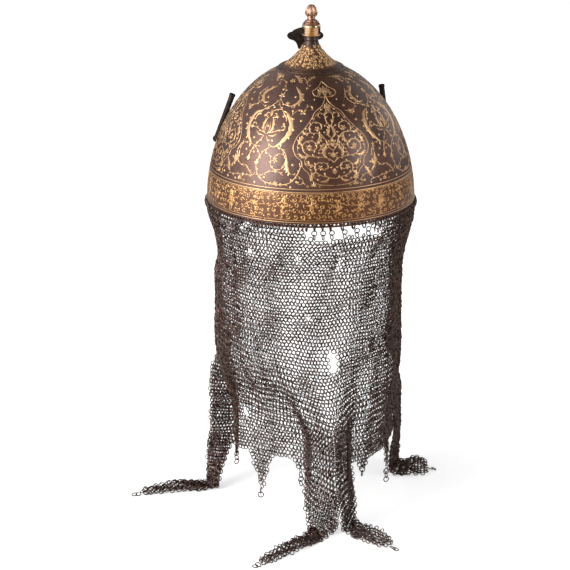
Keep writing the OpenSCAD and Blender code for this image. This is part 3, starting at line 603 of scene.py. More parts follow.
def high_leaves(work):
    """Leaves and stems from the medallions up to the palmettes and the mount."""
    work.stroke([(-41.9, 109.7), (-46.4, 109), (-50.7, 111.5), (-53.3, 115.7), (-49.5, 119.4),
                 (-43.4, 122.8)], 3.4, "leaf")
    work.stroke([(-41.9, 127.6), (-36, 126), (-32.1, 122.6), (-30.4, 118.6), (-32, 113.2),
                 (-30, 108.4), (-26.2, 104.4)], 0.74)
    work.stroke([(-20.6, 123.6), (-15.6, 120.6), (-12.2, 116.4), (-12.8, 113), (-16, 110.4),
                 (-20, 108.6)], 3.7, "leaf")
    work.stroke([(-15, 110.9), (-20.5, 108.4), (-27, 109.6), (-31, 112.8)], 0.74)
    work.stroke([(-43.5, 103), (-39.5, 105.8), (-35.4, 109.1), (-32, 112.4)], 0.74)
    work.stroke([(-26.1, 105.7), (-31.2, 104.6), (-34.3, 103)], 0.74)
    work.stroke([(-18.4, 99.4), (-16, 103.4), (-12.3, 105.8), (-9.1, 104.6)], 0.67)
    work.stroke([(-8.6, 105.6), (-5.6, 108.6), (-2.4, 108.8), (-1.6, 106.4), (-3.8, 105.6)], 0.59)
    work.stroke([(35.2, 121), (31.6, 115.6), (33.7, 110.4), (42, 107.2)], 0.74)
    work.stroke([(-47.9, 107.2), (-42.2, 104.8), (-38.6, 104.4)], 0.74)
    work.stroke([(24.4, 104.6), (27.6, 103.4), (30.6, 103.6), (35, 105.8), (38.6, 106.2)], 0.67)
    work.stroke([(33.4, 49.5), (29.6, 48), (27.2, 45.6), (25.9, 42.8), (28.2, 41.6)], 0.67)
    work.stroke([(29, 56.4), (31.8, 49.6), (32.6, 44.6)], 2.6, "leaf")
    work.stroke([(38.4, 66.2), (38.3, 60.6), (36.6, 54), (33.4, 49.5)], 2.4, "leaf")
    work.stroke([(39.5, 75.2), (39, 70.4), (38.4, 66.2)], 0.74)
    work.stroke([(-30, 131.4), (-24, 130.6), (-19, 128.8), (-17, 126.2)], 2.6, "leaf")
    work.stroke([(-8, 127.4), (-3, 129.6), (3, 130.6)], 2.2, "leaf")
    work.stroke([(24, 130.6), (30, 130.2), (36, 128.4), (40, 125.2)], 2.6, "leaf")
    work.stroke([(-44, 128.4), (-50, 130), (-56, 129.4)], 2.2, "leaf")
    work.stroke([(-19, 128.8), (-13, 129.9), (-8, 127.4), (-7, 124.6)], 0.7)
    work.stroke([(36, 128.4), (42, 129.7), (46, 127.6), (46, 123.6)], 0.7)


def flowers(work):
    """Flowers and tulips at the stems' ends, crowns on the double line, and beads between."""
    for turn, z, size, count, spread, aim, fat in (
            (-9.1, 104.1, 3.6, 4, 360, 45, 0.62), (-31.8, 116.2, 3.4, 5, 360, 90, 0.5),
            (-27.4, 127.7, 3.0, 5, 360, 90, 0.5), (30.6, 102.9, 3.3, 5, 360, 90, 0.5),
            (-23.2, 108.4, 5.2, 4, 70, 96, 0.36), (-43.2, 57.6, 6.4, 3, 66, 92, 0.4),
            (-53.4, 53.8, 7.6, 3, 60, 100, 0.42), (-36.7, 55.2, 5.6, 3, 80, 92, 0.42),
            (-13.4, 42.6, 4.2, 3, 90, 120, 0.42), (-67.2, 44.2, 4.6, 3, 90, 96, 0.42),
            (-5.1, 123.8, 4.0, 1, 0, 60, 0.5), (0.6, 113.2, 3.6, 1, 0, 100, 0.5),
            (31.1, 125.2, 3.6, 1, 0, 120, 0.5), (21, 112.6, 3.6, 1, 0, 80, 0.5),
            (-37.9, 71.8, 3.4, 2, 150, 90, 0.4), (-24.9, 61.6, 3.2, 5, 360, 90, 0.45)):
        for at in repeats(turn):
            work.burst(at, z, size, count, spread, aim, 0.1, fat)
    for turn in (-47.0, -23.4, -1.5, 22.6):
        for at in repeats(turn):
            work.burst(at, 38.2, 5.4, 5, 120, 90, 0.25, 0.26)
            for way in (-1, 1):
                work.spiral(at + way * 3.4, 39.2, 1.5, 90 - way * 90, way * 1.1, 0.5)
    beads = [(-48, 94.7), (-22.7, 93.5), (-42.8, 79), (-28.8, 78.6), (-40.2, 66.5), (-31.3, 67.3),
             (-13.7, 58.5), (-10.2, 97), (-7.4, 122.8), (-17.7, 115.9), (-45.9, 113.4),
             (34.1, 57.8), (32.6, 39.2), (25.4, 108.4), (37.5, 113.2), (31.7, 95.8), (41.8, 88.3),
             (-50.4, 39.4), (-36.2, 39.4), (-30.4, 45.2), (-14.3, 38.2), (-10.9, 43.2),
             (-45, 99.6), (-24.2, 99.8), (-34.4, 90.6), (-34.4, 106.4), (-33.6, 120.8),
             (-17.6, 104.8), (-46.4, 67.6), (-48.6, 62), (-22.9, 72.4), (28.4, 42.2),
             (-45.2, 44.9), (-40, 98.8), (-28.8, 98.8), (-15.2, 89), (36.2, 89)]
    for turn, z in beads:
        for at in repeats(turn):
            work.dot(at, z, 1.25)


def field_scrolls(work):
    """Scrollwork in the fields, the same on both sides of their middle."""
    def field(places, width, form="stem"):
        work.stroke([(CARTOUCHE - a, z) for a, z in places], width, form, mirror=True)

    field([(0, 46), (3.4, 47.6), (7.2, 49.2), (10.6, 52.6), (11.2, 58), (8.6, 61.2), (4.8, 60.2),
           (3.6, 56.6), (6, 54.4), (8, 56.2)], 0.93)
    field([(0, 60.6), (2.8, 64.4), (7.6, 66), (13.4, 66.8), (18, 70.6), (18.8, 76.4), (15.4, 80),
           (11, 78.6), (10.2, 74), (13, 71.8), (15.2, 74)], 0.96)
    field([(0, 71), (2.6, 75.4), (4.4, 81.4), (8.2, 86.4), (13.4, 87), (14.8, 92), (11.2, 96),
           (7, 94.4), (6.4, 90.6), (8.8, 89.6)], 0.93)
    field([(0, 92), (2.6, 96.8), (3.4, 102), (7.2, 103.4), (8.2, 100.6), (6.2, 99.4)], 0.81)
    field([(10.6, 52.6), (12.8, 49.8), (12.6, 46)], 2.8, "leaf")
    field([(11.2, 58), (14, 58.8), (15.2, 62.6)], 2.6, "leaf")
    field([(5.4, 65.6), (5.8, 70.6), (3.4, 74.4)], 2.8, "leaf")
    field([(14, 66.8), (18.2, 66), (21.2, 69.4)], 2.4, "leaf")
    field([(8.2, 86.4), (7.8, 81.8), (10.2, 78.8)], 2.6, "leaf")
    field([(18.6, 76.4), (21, 79), (18.4, 83.4)], 2.8, "leaf")
    field([(13.6, 87.2), (17.4, 86.2), (19.2, 88.6)], 2.2, "leaf")
    field([(3.4, 101.6), (1.2, 105.4), (2.4, 109.6)], 2.4, "leaf")
    field([(0, 82), (2.2, 85.4), (1.4, 90.4), (0, 92.6)], 2.2, "leaf")
    field([(3.2, 47.6), (4.8, 44.4), (8.4, 43.6)], 2.0, "leaf")
    field([(2.4, 75), (5.4, 77.8), (6.6, 74.6), (9, 71.2)], 0.81)
    for turn, z, size, count, spread, fat in (
            (0, 49.6, 6.2, 3, 70, 0.4), (0, 64.6, 6.4, 5, 110, 0.3), (0, 78.4, 4.6, 6, 360, 0.5),
            (0, 106.8, 6.6, 3, 60, 0.36), (8, 56.2, 2.8, 5, 360, 0.5), (-8, 56.2, 2.8, 5, 360, 0.5),
            (14.6, 74.2, 3.2, 6, 360, 0.5), (-14.6, 74.2, 3.2, 6, 360, 0.5),
            (9.4, 90.4, 2.8, 5, 360, 0.5), (-9.4, 90.4, 2.8, 5, 360, 0.5)):
        for at in repeats(CARTOUCHE + turn):
            work.burst(at, z, size, count, spread, 90, 0.12, fat)
    for turn, z in ((5.6, 51.2), (13.6, 54.4), (1.8, 56.4), (8.6, 69.4), (2.4, 69), (21.4, 74),
                    (7.4, 76), (12.6, 83.4), (4.6, 87.2), (17, 90.4), (3.8, 92.8), (12.4, 99),
                    (5.4, 106.2), (20.8, 83), (16.6, 59.4), (9.6, 45.6)):
        for way in (-1, 1):
            for at in repeats(CARTOUCHE + way * turn):
                work.dot(at, z, 0.95)


def build_dome_inlay():
    """The arabesque of the dome: four framed fields, a blossom medallion between each two, the
    double line over the border and the line under it."""
    work = GoldWork(dome_r, dome_slope)
    for part in (field_frames, medallions, low_stems, high_leaves, flowers, field_scrolls):
        part(work)
    for z, width in ((36.4, 0.8), (33.4, 1.0), (4.9, 0.7)):
        work.ring(z, width)
    work.finish("dome_inlay", gold)


build_dome_inlay()


def build_border():
    """The border: close small scrolls and leaves, and brighter blossoms like knots of leaves."""
    work = GoldWork(dome_r, dome_slope)
    knots = [(-51.3, 19.6), (-34.6, 21), (-18.1, 19.4), (-2.6, 20.6), (11.7, 19), (24.6, 20.4),
             (37.8, 19.6)]
    for row, z in enumerate((10, 15.4, 20.8, 26.2, 30.2)):
        columns = 96 + 6 * row
        for column in range(columns):
            turn = (column + 0.5 * (row % 2) + rng.uniform(-0.22, 0.22)) * 360 / columns
            up = z + rng.uniform(-0.8, 0.8)
            size = rng.uniform(1.9, 2.9)
            aim = rng.uniform(0, 360)
            work.spiral(turn, up, size, aim, rng.choice([-1, 1]) * rng.uniform(0.7, 1.2), 0.75,
                        0.09, 16)
            for _ in range(2):
                work.burst(turn + rng.uniform(-1.6, 1.6), up + rng.uniform(-1.6, 1.6),
                           rng.uniform(1.6, 2.8), 1, 0, rng.uniform(0, 360), 0.0, 0.56, 0.1)
    for k, (turn, z) in enumerate(knots * REPEATS):
        at = turn + 360 / REPEATS * (k // len(knots))
        for rise, count, size in ((-5.6, 5, 3.6), (-0.4, 8, 4.4), (5.2, 6, 4.0)):
            for leaf in range(count):
                work.burst(at + rng.uniform(-1.1, 1.1), z + rise + rng.uniform(-1, 1),
                           size * rng.uniform(0.6, 1.15), 1, 0,
                           360 / count * leaf + rng.uniform(-20, 20), 0.0, 0.52, 0.17)
            work.dot(at + rng.uniform(-0.6, 0.6), z + rise, 0.34 * size)
    for z, width in ((7.0, 0.45), (32.2, 0.5)):
        work.ring(z, width, 0.1)
    work.finish("border_inlay", border_gold)


build_border()


# The apex mount
CONE_TOP, NECK_R, CONE_FOOT_R, MOUNT_R = 163.5, 6.8, 26.0, 33.0
CONE_FOOT_Z = float(dome_z(CONE_FOOT_R)) + 1.05
CONE_END_Z = CONE_TOP - 4
MOULDINGS = (32.0, 30.5, 28.9, 27.4)    # radii of the fine ridges round its foot
RIVETS = 12


def cone_r(z):
    """Radius of the concave cone at a height."""
    u = np.clip((np.asarray(z, float) - CONE_FOOT_Z) / (CONE_END_Z - CONE_FOOT_Z), 0, 1)
    return NECK_R + (CONE_FOOT_R - NECK_R) * (1 - u) ** 1.6


def cone_slope(z):
    """How fast the cone's radius changes with height."""
    return (cone_r(np.asarray(z) + 0.01) - cone_r(np.asarray(z) - 0.01)) / 0.02


def build_mount():
    """The cone: a thin foot with four fine mouldings, and the sweep up to the neck."""
    bead = [(33.0, float(dome_z(33.0)) + 0.1), (32.95, float(dome_z(32.95)) + 0.35)]
    flange = []
    for r in np.linspace(32.6, 26.4, 56):
        ridge = sum(0.42 * math.exp(-((r - m) / 0.34) ** 2) for m in MOULDINGS)
        rise = 0.4 + 0.9 * min(1, (32.6 - r) / 2.6)
        flange.append((r, float(dome_z(r)) + rise + ridge))
    sweep = [(float(cone_r(z)), z) for z in
             CONE_FOOT_Z + 0.4 + (CONE_END_Z - CONE_FOOT_Z - 0.4) * np.linspace(0, 1, 40) ** 1.25]
    bore, z = STUD_HOLE_R + 0.05, CONE_END_Z
    neck = [(NECK_R, z + 0.3), (NECK_R + 0.25, z + 0.6), (NECK_R + 0.25, z + 1.1),
            (NECK_R, z + 1.4), (NECK_R, CONE_TOP), (bore, CONE_TOP)]
    under = [(bore, BOWL_H + 0.1)] + [(r, float(dome_z(r)) + 0.1) for r in np.linspace(5, 32.9, 18)]
    points, faces = lathe(bead + flange + sweep + neck + under, 192)
    made = piece("mount_cone", points, faces, gilt, sharp=48)
    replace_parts(made, "apex_mount")


build_mount()


def build_mount_inlay():
    """Rows of small scrolls with leaves, up the cone."""
    work = GoldWork(cone_r, cone_slope)
    height = 138.6
    for count, size in ((25, 3.7), (23, 3.4), (20, 3.1), (17, 2.8), (14, 2.5), (11, 2.2)):
        for k in range(count):
            turn = 360 * (k + 0.5 * (count % 2) + rng.uniform(-0.2, 0.2)) / count
            up = height + rng.uniform(-0.2, 0.2) * size
            way = 1 if k % 2 else -1
            work.spiral(turn, up, 0.7 * size, rng.uniform(0, 360), way * 0.9, 0.3 * size, 0.13,
                        22)
            for _ in range(6):
                work.burst(turn + rng.uniform(-85, 85) / count,
                           up + rng.uniform(-0.5, 0.5) * size, size * rng.uniform(0.5, 0.95), 1,
                           0, rng.uniform(0, 360), 0.0, 0.55, 0.16)
            work.dot(turn + 150 / count, up + 0.3 * size, 0.14 * size)
        height += size * 0.98
    work.finish("cone_inlay", mount_gold)


build_mount_inlay()


def build_apex_rivets():
    """The mount's flush rivets: low heads on its foot, and tails inside the bowl."""
    r = MOUNT_R - 3.1
    z = float(dome_z(r))
    outline = [(0.05, -2.8), (1.0, -2.6), (1.6, -2.0), (1.7, -1.4), (0.9, -1.3), (0.9, 1.0),
               (1.6, 1.1), (1.5, 1.3), (0.9, 1.42), (0.05, 1.46)]
    shape, cells = lathe(outline, 18)
    points, faces = [], []
    for k in range(RIVETS):
        turn = 2 * math.pi * (k + 0.5) / RIVETS
        out = unit(np.array([math.cos(turn), math.sin(turn), -float(dome_slope(z))]))
        right = np.array([-math.sin(turn), math.cos(turn), 0])
        base = np.array([r * math.cos(turn), r * math.sin(turn), z])
        points.append(base + shape @ np.stack([right, np.cross(out, right), out]))
        faces.append(cells + k * len(shape))
    made = piece("mount_rivets", np.vstack(points), np.vstack(faces), gilt)
    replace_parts(made, "apex_rivets")


build_apex_rivets()


# The finial
DRUM_H, KNOB_H, PETALS = 11.3, 19.3, 9
KNOB_Z = CONE_TOP + DRUM_H
BUD_Z = KNOB_Z + 0.42 * KNOB_H


def build_collar():
    """The brass drum on the mount's neck."""
    z = CONE_TOP
    drum = [(2.4, z), (6.4, z), (7.6, z + 0.25), (8.5, z + 0.8), (8.85, z + 1.5), (8.85, z + 2.1),
            (8.65, z + 2.25), (8.65, z + 2.6), (8.9, z + 2.8), (8.9, z + 8.4), (8.65, z + 8.6),
            (8.65, z + 8.95), (8.85, z + 9.15), (8.85, z + 10.2), (8.5, z + 10.9),
            (7.9, z + DRUM_H), (2.4, z + DRUM_H)]
    points, faces = lathe(drum, 128)
    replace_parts(piece("collar_drum", points, faces, brass, sharp=30), "finial_collar")


def petals(turn, r, z):
    """How far the bud's upright petals stand out: two layers, with a groove between each two."""
    u = np.clip((z - BUD_Z) / (KNOB_Z + KNOB_H - BUD_Z), 0, 1)
    away = np.abs((turn * PETALS / (2 * np.pi)) % 1 - 0.5) * 2
    behind = np.abs((turn * PETALS / (2 * np.pi) + 0.5) % 1 - 0.5) * 2
    wide = 0.98 - 0.5 * np.clip((u - 0.35) / 0.5, 0, 1) ** 1.5
    front = np.where(away < wide, 0.12 - 0.95 * (away / wide) ** 3, -0.95)
    back = -0.38 - 0.6 * (behind / 0.75) ** 2
    shape = np.maximum(front, np.where(u > 0.3, back, -0.95))
    return shape * np.clip(u / 0.12, 0, 1) * np.clip((1.06 - u) / 0.2, 0.2, 1)


def build_knob():
    """The turned foot on the drum, with its petalled bud."""
    z, bud_low, tip = KNOB_Z, BUD_Z, KNOB_Z + KNOB_H
    foot = [(2.3, z), (8.0, z), (8.4, z + 0.35), (8.4, z + 0.8), (7.8, z + 1.15), (7.0, z + 1.3),
            (6.95, z + 1.6), (7.35, z + 1.85), (7.35, z + 2.3), (6.6, z + 2.75), (5.9, z + 2.9),
            (5.9, z + 3.15), (6.25, z + 3.4), (6.1, z + 3.8), (5.2, z + 4.15), (4.3, z + 4.35),
            (4.1, z + 4.7), (4.3, z + 5.0), (3.9, z + 5.4), (3.65, z + 5.7), (3.6, z + 6.9),
            (3.9, z + 7.1), (4.35, z + 7.4), (4.3, z + 7.9)]
    bud = smooth_line([(4.2, bud_low), (5.2, bud_low + 0.6), (5.95, bud_low + 1.9),
                       (6.0, bud_low + 3.4), (5.7, bud_low + 5.2), (5.1, bud_low + 7.0),
                       (4.3, bud_low + 8.7), (3.4, bud_low + 10.0), (2.4, tip - 0.55),
                       (1.2, tip - 0.15)])
    bud = [tuple(spot) for spot in bud]
    points, faces = lathe(foot + bud + [(0.05, tip)], 216, True, petals)
    made = piece("petalled_bud", points, faces, copper_gilt, sharp=44)
    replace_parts(made, "finial_knob")


build_collar()
build_knob()


# The mail: rings, rows and columns in mm
MAIL_PITCH, ROW_PITCH, RING_R, RING_WIRE = 3.45, 3.25, 2.36, 0.49
HANGER_R, HANGER_WIRE = 2.9, 0.46
HANGER_Z = RIM_HOLE_Z - HANGER_R
RIM_MID_R = 101.8
RIM_PITCH = 2 * math.pi * RIM_MID_R / RIM_COUNT
MAIL_Z = HANGER_Z - HANGER_R - 0.75
MAIL_HALF, MAIL_DROP, FIRST_ROW = 62, 245.0, 0.7    # columns to each side, depths of the rows
FRINGE_FIRST, FRINGE_LAST, FRINGE_DROP = 62, 105, 42.0
ROUND_R = RIM_COUNT * MAIL_PITCH / (2 * math.pi)
LEAN = 29.0                             # degrees that rings lean, row by row to either side
BEND_R = 7.0                            # of the long points where they meet the floor
TORUS = (12, 5)
MAX_RINGS = 1600                        # in one piece
# The folds at the hem: place along the sheet and the way it heads there, in degrees
HEM_TURNS = np.array([(-216, -6), (-192, -6), (-186, -90), (-121, -90), (-115, -34), (-46, -34),
                      (-41, -82), (-24, -82), (-19, -31), (4, -31), (10, 37), (26, 37), (31, 84),
                      (44, 84), (50, 22), (62, 22), (68, 56), (100, 56), (108, 75), (160, 75),
                      (170, 78), (216, 80)], float)
# Small points of the hem: place along the sheet, half width and depth
HEM_POINTS = [(-159, 9, 12), (-124, 8, 10), (-90, 13, 42), (-48, 8, 16), (62, 8, 10), (117, 8, 32)]
# Holes: place along the sheet, depth under its top, half width and half height
HOLES = [(19, 131, 4.4, 11), (-6, 89, 3.6, 3.4), (-15, 28.5, 3, 3.2), (-62, 25, 3, 2.8),
         (-48, 134.5, 1.6, 6), (24, 34, 1.7, 12), (66, 190, 2.2, 4), (-104, 210, 2.4, 5)]
# Where the top row has come off the rim, and the links that still bridge it, along the sheet
TORN_TOP, TORN_LEFT = (-9, 60), (-75, -66)
BRIDGE_LINKS = (-1.9, 5.75, 13.4, 24.9, 36.4, 47.9)
# Long points: columns at the hem, where the middle meets the floor, direction across it there,
# direction and length of the foot, how far it narrows at the floor and at the tip, its bank,
# how far its rows slope, how close its columns hang, how far its rings lean and its layers
LongPoint = namedtuple("LongPoint", "columns middle across foot long narrow tip bank slope gather "
                                    "lean layers")
LONG_POINTS = {
    "front_left": LongPoint((-62, -54), (-99, 15), -50, 193, 78, 0.62, 0.45, 32, -0.02, 0.7, 31, 2),
    "back_left": LongPoint((-12, 2), (7, -107), -3, 227, 97, 0.57, 0.46, 3, 0.13, 0.66, 32, 1),
    "back_right": LongPoint((2, 14), (34, -95), 62, 308, 60, 0.72, 0.55, 12, -0.13, 0.72, 34, 1),
    "front_right": LongPoint((46, 62), (92, 53), 72, -3, 32, 0.72, 0.85, 8, 0.0, 0.72, 34, 1)}


def ease(t):
    """0 to 1 with a soft start and end, and flat outside."""
    t = np.clip(t, 0, 1)
    return t * t * (3 - 2 * t)


def blend(a, b, t):
    """The value t of the way from a to b."""
    return a + (b - a) * t


def mail_walk(drop):
    """The sheet's line in plan at a depth, at every half column: x, y and its direction."""
    fold, even = float(ease((drop - 125) / 100)), 1 - float(ease(drop / 60))
    half = MAIL_PITCH / 2
    spread = blend(1, RIM_PITCH / MAIL_PITCH, even)
    start = blend(blend(np.array([-2, 11.5 - BOWL_R]), np.array([8.6, -1.9 - BOWL_R]), fold),
                  np.array([0, -RIM_MID_R]), even)

    def heading(s):
        return np.radians(blend(np.degrees(s / ROUND_R), np.interp(s, *HEM_TURNS.T), fold))

    n = 2 * MAIL_HALF + 2
    mids = heading((np.arange(n) + 0.5) * half)
    right = np.cumsum(np.stack([np.cos(mids), np.sin(mids)], 1), 0) * half * spread
    mids = heading(-(np.arange(n) + 0.5) * half)
    left = -np.cumsum(np.stack([np.cos(mids), np.sin(mids)], 1), 0) * half * spread
    plan = np.vstack([left[::-1], [[0, 0]], right]) + start
    return plan, np.degrees(heading(np.arange(-n, n + 1) * half)), n


def ripple(s, drop):
    """Small waves that hanging mail always keeps, in mm outwards."""
    soft = ease(drop / 70)
    return soft * (0.5 * np.sin(s / 6.4 + 0.9 * np.sin(drop / 31))
                   + 0.3 * np.sin(s / 3.6 - drop / 47) + 0.4 * np.sin(drop / 19 + s / 23))


def sag(s, drop):
    """How far a row hangs under its even height: down to the long points, up at the left fold."""
    prow = ease((drop - 60) / 150) * (1 - ease((drop - 190) / 54)) * np.exp(-((s - 7) / 26) ** 2)
    fold = ease((drop - 70) / 70) * (1 - ease((drop - 175) / 65)) * np.exp(-((s + 118) / 36) ** 2)
    return 10 * prow - 5 * fold


def closeness(s, drop):
    """How far the rings lean: old mail settles closer in some patches, and at the left edge."""
    patch = np.sin(s / 17 + 1.7 * np.sin(drop / 23)) * np.sin(drop / 13 + 1.3 * np.sin(s / 29))
    side = ease((np.abs(s) - 50) / 40)
    fold = ease((-s - 150) / 30) * ease((drop - 110) / 40)
    return LEAN + 8 * patch * (1 - 0.7 * side) - 8 * side * (1 - fold) + 8 * fold


def unrest(s, drop):
    """How far rings have crept along their row and down from it."""
    along = 0.8 * np.sin(s / 7.5 + drop / 37) + 0.5 * np.sin(drop / 5.1 + s / 41)
    down = 0.7 * np.sin(drop / 9.5 + s / 31) + 0.35 * np.sin(s / 4.7 + drop / 8)
    return along, down * ease(drop / 12) * (1 - ease((drop - 225) / 20))


def sheet_place(s, drop):
    """Place in space of a point of the sheet: s along it from the back, drop under its top."""
    s = np.asarray(s, float)
    if np.ndim(drop) == 0:
        drop = np.full_like(s, drop)
    out = np.empty((len(s), 3))
    deep = drop + sag(s, drop)
    for level in np.unique(np.round(deep, 1)):
        here = np.round(deep, 1) == level
        out[here] = sheet_level(s[here], level)
    return out


def sheet_level(s, drop):
    """The same for places that all lie at one depth. The left side is pinched at its waist, and
    the back leans a little to the right over the long points."""
    plan, turn, n = mail_walk(min(drop, MAIL_DROP))
    at = s / (MAIL_PITCH / 2) + n
    steps = np.arange(len(plan))
    x, y = np.interp(at, steps, plan[:, 0]), np.interp(at, steps, plan[:, 1])
    h = np.radians(np.interp(at, steps, turn))
    pinch = 4.2 * ease(drop / 28) * (1 - ease((drop - 48) / 24)) * np.exp(-((s + 145) / 42) ** 2)
    out = ripple(s, drop) - pinch
    x = x + 5 * ease((drop - 140) / 90) * ease((s + 78) / 40) * (1 - ease(s / 28))
    return np.stack([x + out * np.sin(h), y - out * np.cos(h), np.full_like(x, MAIL_Z - drop)], 1)


class Rings:
    """Gathers rings as centres and two directions in each ring's plane."""

    def __init__(self):
        self.rows = []

    def put(self, centre, along, down, size=1.0):
        """Adds rings, all of one size."""
        n = len(centre)
        self.rows.append(np.hstack([centre, along, down, np.full((n, 1), size)]))

    def table(self):
        """All the rings, one to a row."""
        return np.vstack(self.rows)


def tilt_and_shake(centre, along, down, lean):
    """Leans the rings of a row about their down direction, and shakes each a little."""
    n = len(centre)
    out = unit(np.cross(down, along))
    along = np.cross(out, down)
    angle = np.radians(lean + rng.normal(0, 7, n))[:, None]
    side = along * np.cos(angle) + out * np.sin(angle)
    nod = np.radians(rng.normal(0, 7, n))[:, None]
    flat = np.cross(side, down)
    down = down * np.cos(nod) + flat * np.sin(nod)
    centre = centre + rng.normal(0, 0.2, (n, 3))
    return centre, side, down


def torn(s, drop):
    """Where the old mail has lost rings."""
    wobble = 1.2 * np.sin(s * 1.3 + drop * 0.7)
    gone = np.zeros(np.shape(s), bool)
    for s0, d0, wide, tall in HOLES:
        gone |= ((s - s0) / (wide + 0.4 * wobble)) ** 2 + ((drop - d0) / tall) ** 2 < 1
    ragged = 8.4 + 1.4 * np.sin(s / 7) + wobble
    gone |= (s > TORN_TOP[0]) & (s < TORN_TOP[1] + wobble) & (drop < ragged)
    gone |= (s > TORN_LEFT[0]) & (s < TORN_LEFT[1]) & (drop < 5)
    return gone


def hem_depth(s):
    """How far the hem and its small points hang under the last full row."""
    deep = [p[2] * np.maximum(0, 1 - np.abs(s - p[0]) / p[1]) for p in HEM_POINTS]
    return np.max(deep, 0) + 2


def front_edges(drop):
    """Where the sheet's two front edges are along it: they curve back round the face."""
    half = MAIL_HALF * MAIL_PITCH + 1.1
    open_face = float(ease(drop / 35) * (1 - ease((drop - 112) / 88)))
    return 40 * open_face - half, half - 34 * open_face


def folded_rings():
    """Rings of the left front edge, which is folded under itself towards the hem."""
    rings = Rings()
    fold_row, fold_column, gap = 33, LONG_POINTS["front_left"].columns[1], 3.4
    for row in range(fold_row, int(MAIL_DROP / ROW_PITCH)):
        drop = FIRST_ROW + (row + 0.5) * ROW_PITCH
        s = (np.arange(-MAIL_HALF, fold_column) + (0.2 if row % 2 else 0.7)) * MAIL_PITCH
        s = s[s > front_edges(drop)[0]]
        if not len(s):
            continue
        along = unit(sheet_place(s + 1, drop) - sheet_place(s - 1, drop))
        down = np.tile([0.0, 0, -1], (len(s), 1))
        centre = sheet_place(s, drop) - gap * np.cross(down, along)
        rings.put(*tilt_and_shake(centre, along, down, LEAN if row % 2 else -LEAN))
    return rings.rows


def panel_rings(first, last):
    """Rings of the sheet between two columns, from the rim to the hem and its small points."""
    rings = Rings()
    if first == -MAIL_HALF:
        rings.rows += folded_rings()
    for row in range(int((MAIL_DROP + 50) / ROW_PITCH)):
        drop = FIRST_ROW + row * ROW_PITCH
        columns = np.arange(first, last, 1.0) + (0.5 if row % 2 == 0 else 0)
        if last == MAIL_HALF and row % 2:
            columns = np.append(columns, last)
        s = columns * MAIL_PITCH
        left, right = front_edges(drop)
        keep = ~torn(s, drop) & (s > left) & (s < right)
        if drop > MAIL_DROP:
            keep &= drop < MAIL_DROP + hem_depth(s)
            for point in LONG_POINTS.values():
                keep &= (columns < point.columns[0]) | (columns > point.columns[1])
        s = s[keep]
        if not len(s):
            continue
        spread, rows_at = unrest(s, drop)
        centre = sheet_place(s + spread, np.maximum(0, drop + rows_at))
        along = sheet_place(s + 1, drop) - sheet_place(s - 1, drop)
        down = sheet_place(s, drop + 1.5) - sheet_place(s, max(0, drop - 1.5))
        lean = closeness(s, drop) * (1 if row % 2 else -1)
        rings.put(*tilt_and_shake(centre, unit(along), unit(down), lean))
    return rings


def strip_place(point, x, t):
    """Places on a long point, at x from -1 to 1 across, and t, which is 0 at the hem, 1 at the
    floor and 2 at the tip. Both are lists of the same length."""
    a, b = point.columns
    x, t = np.broadcast_arrays(np.asarray(x, float), np.asarray(t, float))
    hang = np.clip(t, 0, 1)
    root = sheet_place(blend(a, b, (x + 1) / 2) * MAIL_PITCH, MAIL_DROP)[:, :2]
    rounded = np.sqrt(np.maximum(0.05, 1 - (np.maximum(0, t - 1.8) / 0.23) ** 2))
    half = 0.5 * (b - a) * MAIL_PITCH * np.where(
        t < 1, blend(1, point.narrow, hang ** 0.9),
        point.narrow * blend(1, point.tip, t - 1) * rounded)
    turned = point.foot + (-270 if point.foot > 180 else 90)
    side = np.radians(blend(point.across, turned, ease(t - 1)))
    bend = np.radians(np.clip((t - 1) * 400, 0, 90))
    tilt = np.radians(point.bank * ease((t - 1) * 2))
    run = np.where(t < 1, 0, BEND_R * (1 - np.cos(bend)) + point.long * np.maximum(0, t - 1.1))
    ahead = math.radians(point.foot)
    flat = (np.array(point.middle) + run[:, None] * np.array([math.cos(ahead), math.sin(ahead)])
            + (x * half * np.cos(tilt))[:, None] * np.stack([np.cos(side), np.sin(side)], 1))
    plan = blend(root, flat, ease(hang)[:, None])
    ground = FLOOR_Z + 1.1
    z = np.where(t < 1, blend(MAIL_Z - MAIL_DROP, BEND_R + ground, hang),
                 BEND_R * (1 - np.sin(bend)) + ground)
    z = z + (1 + x * np.sign(np.sin(side))) * half * np.sin(tilt)
    z = z + ease((t - 1.05) * 6) * (0.7 + 1.3 * np.abs(np.sin(6 * t + 2 * x)))
    wave = 0.9 * np.sin(8 * t + 3 * x) * ease(t * 4) * (1 - ease((t - 0.9) * 4))
    return np.column_stack([plan[:, 0], plan[:, 1] + wave, z]), half


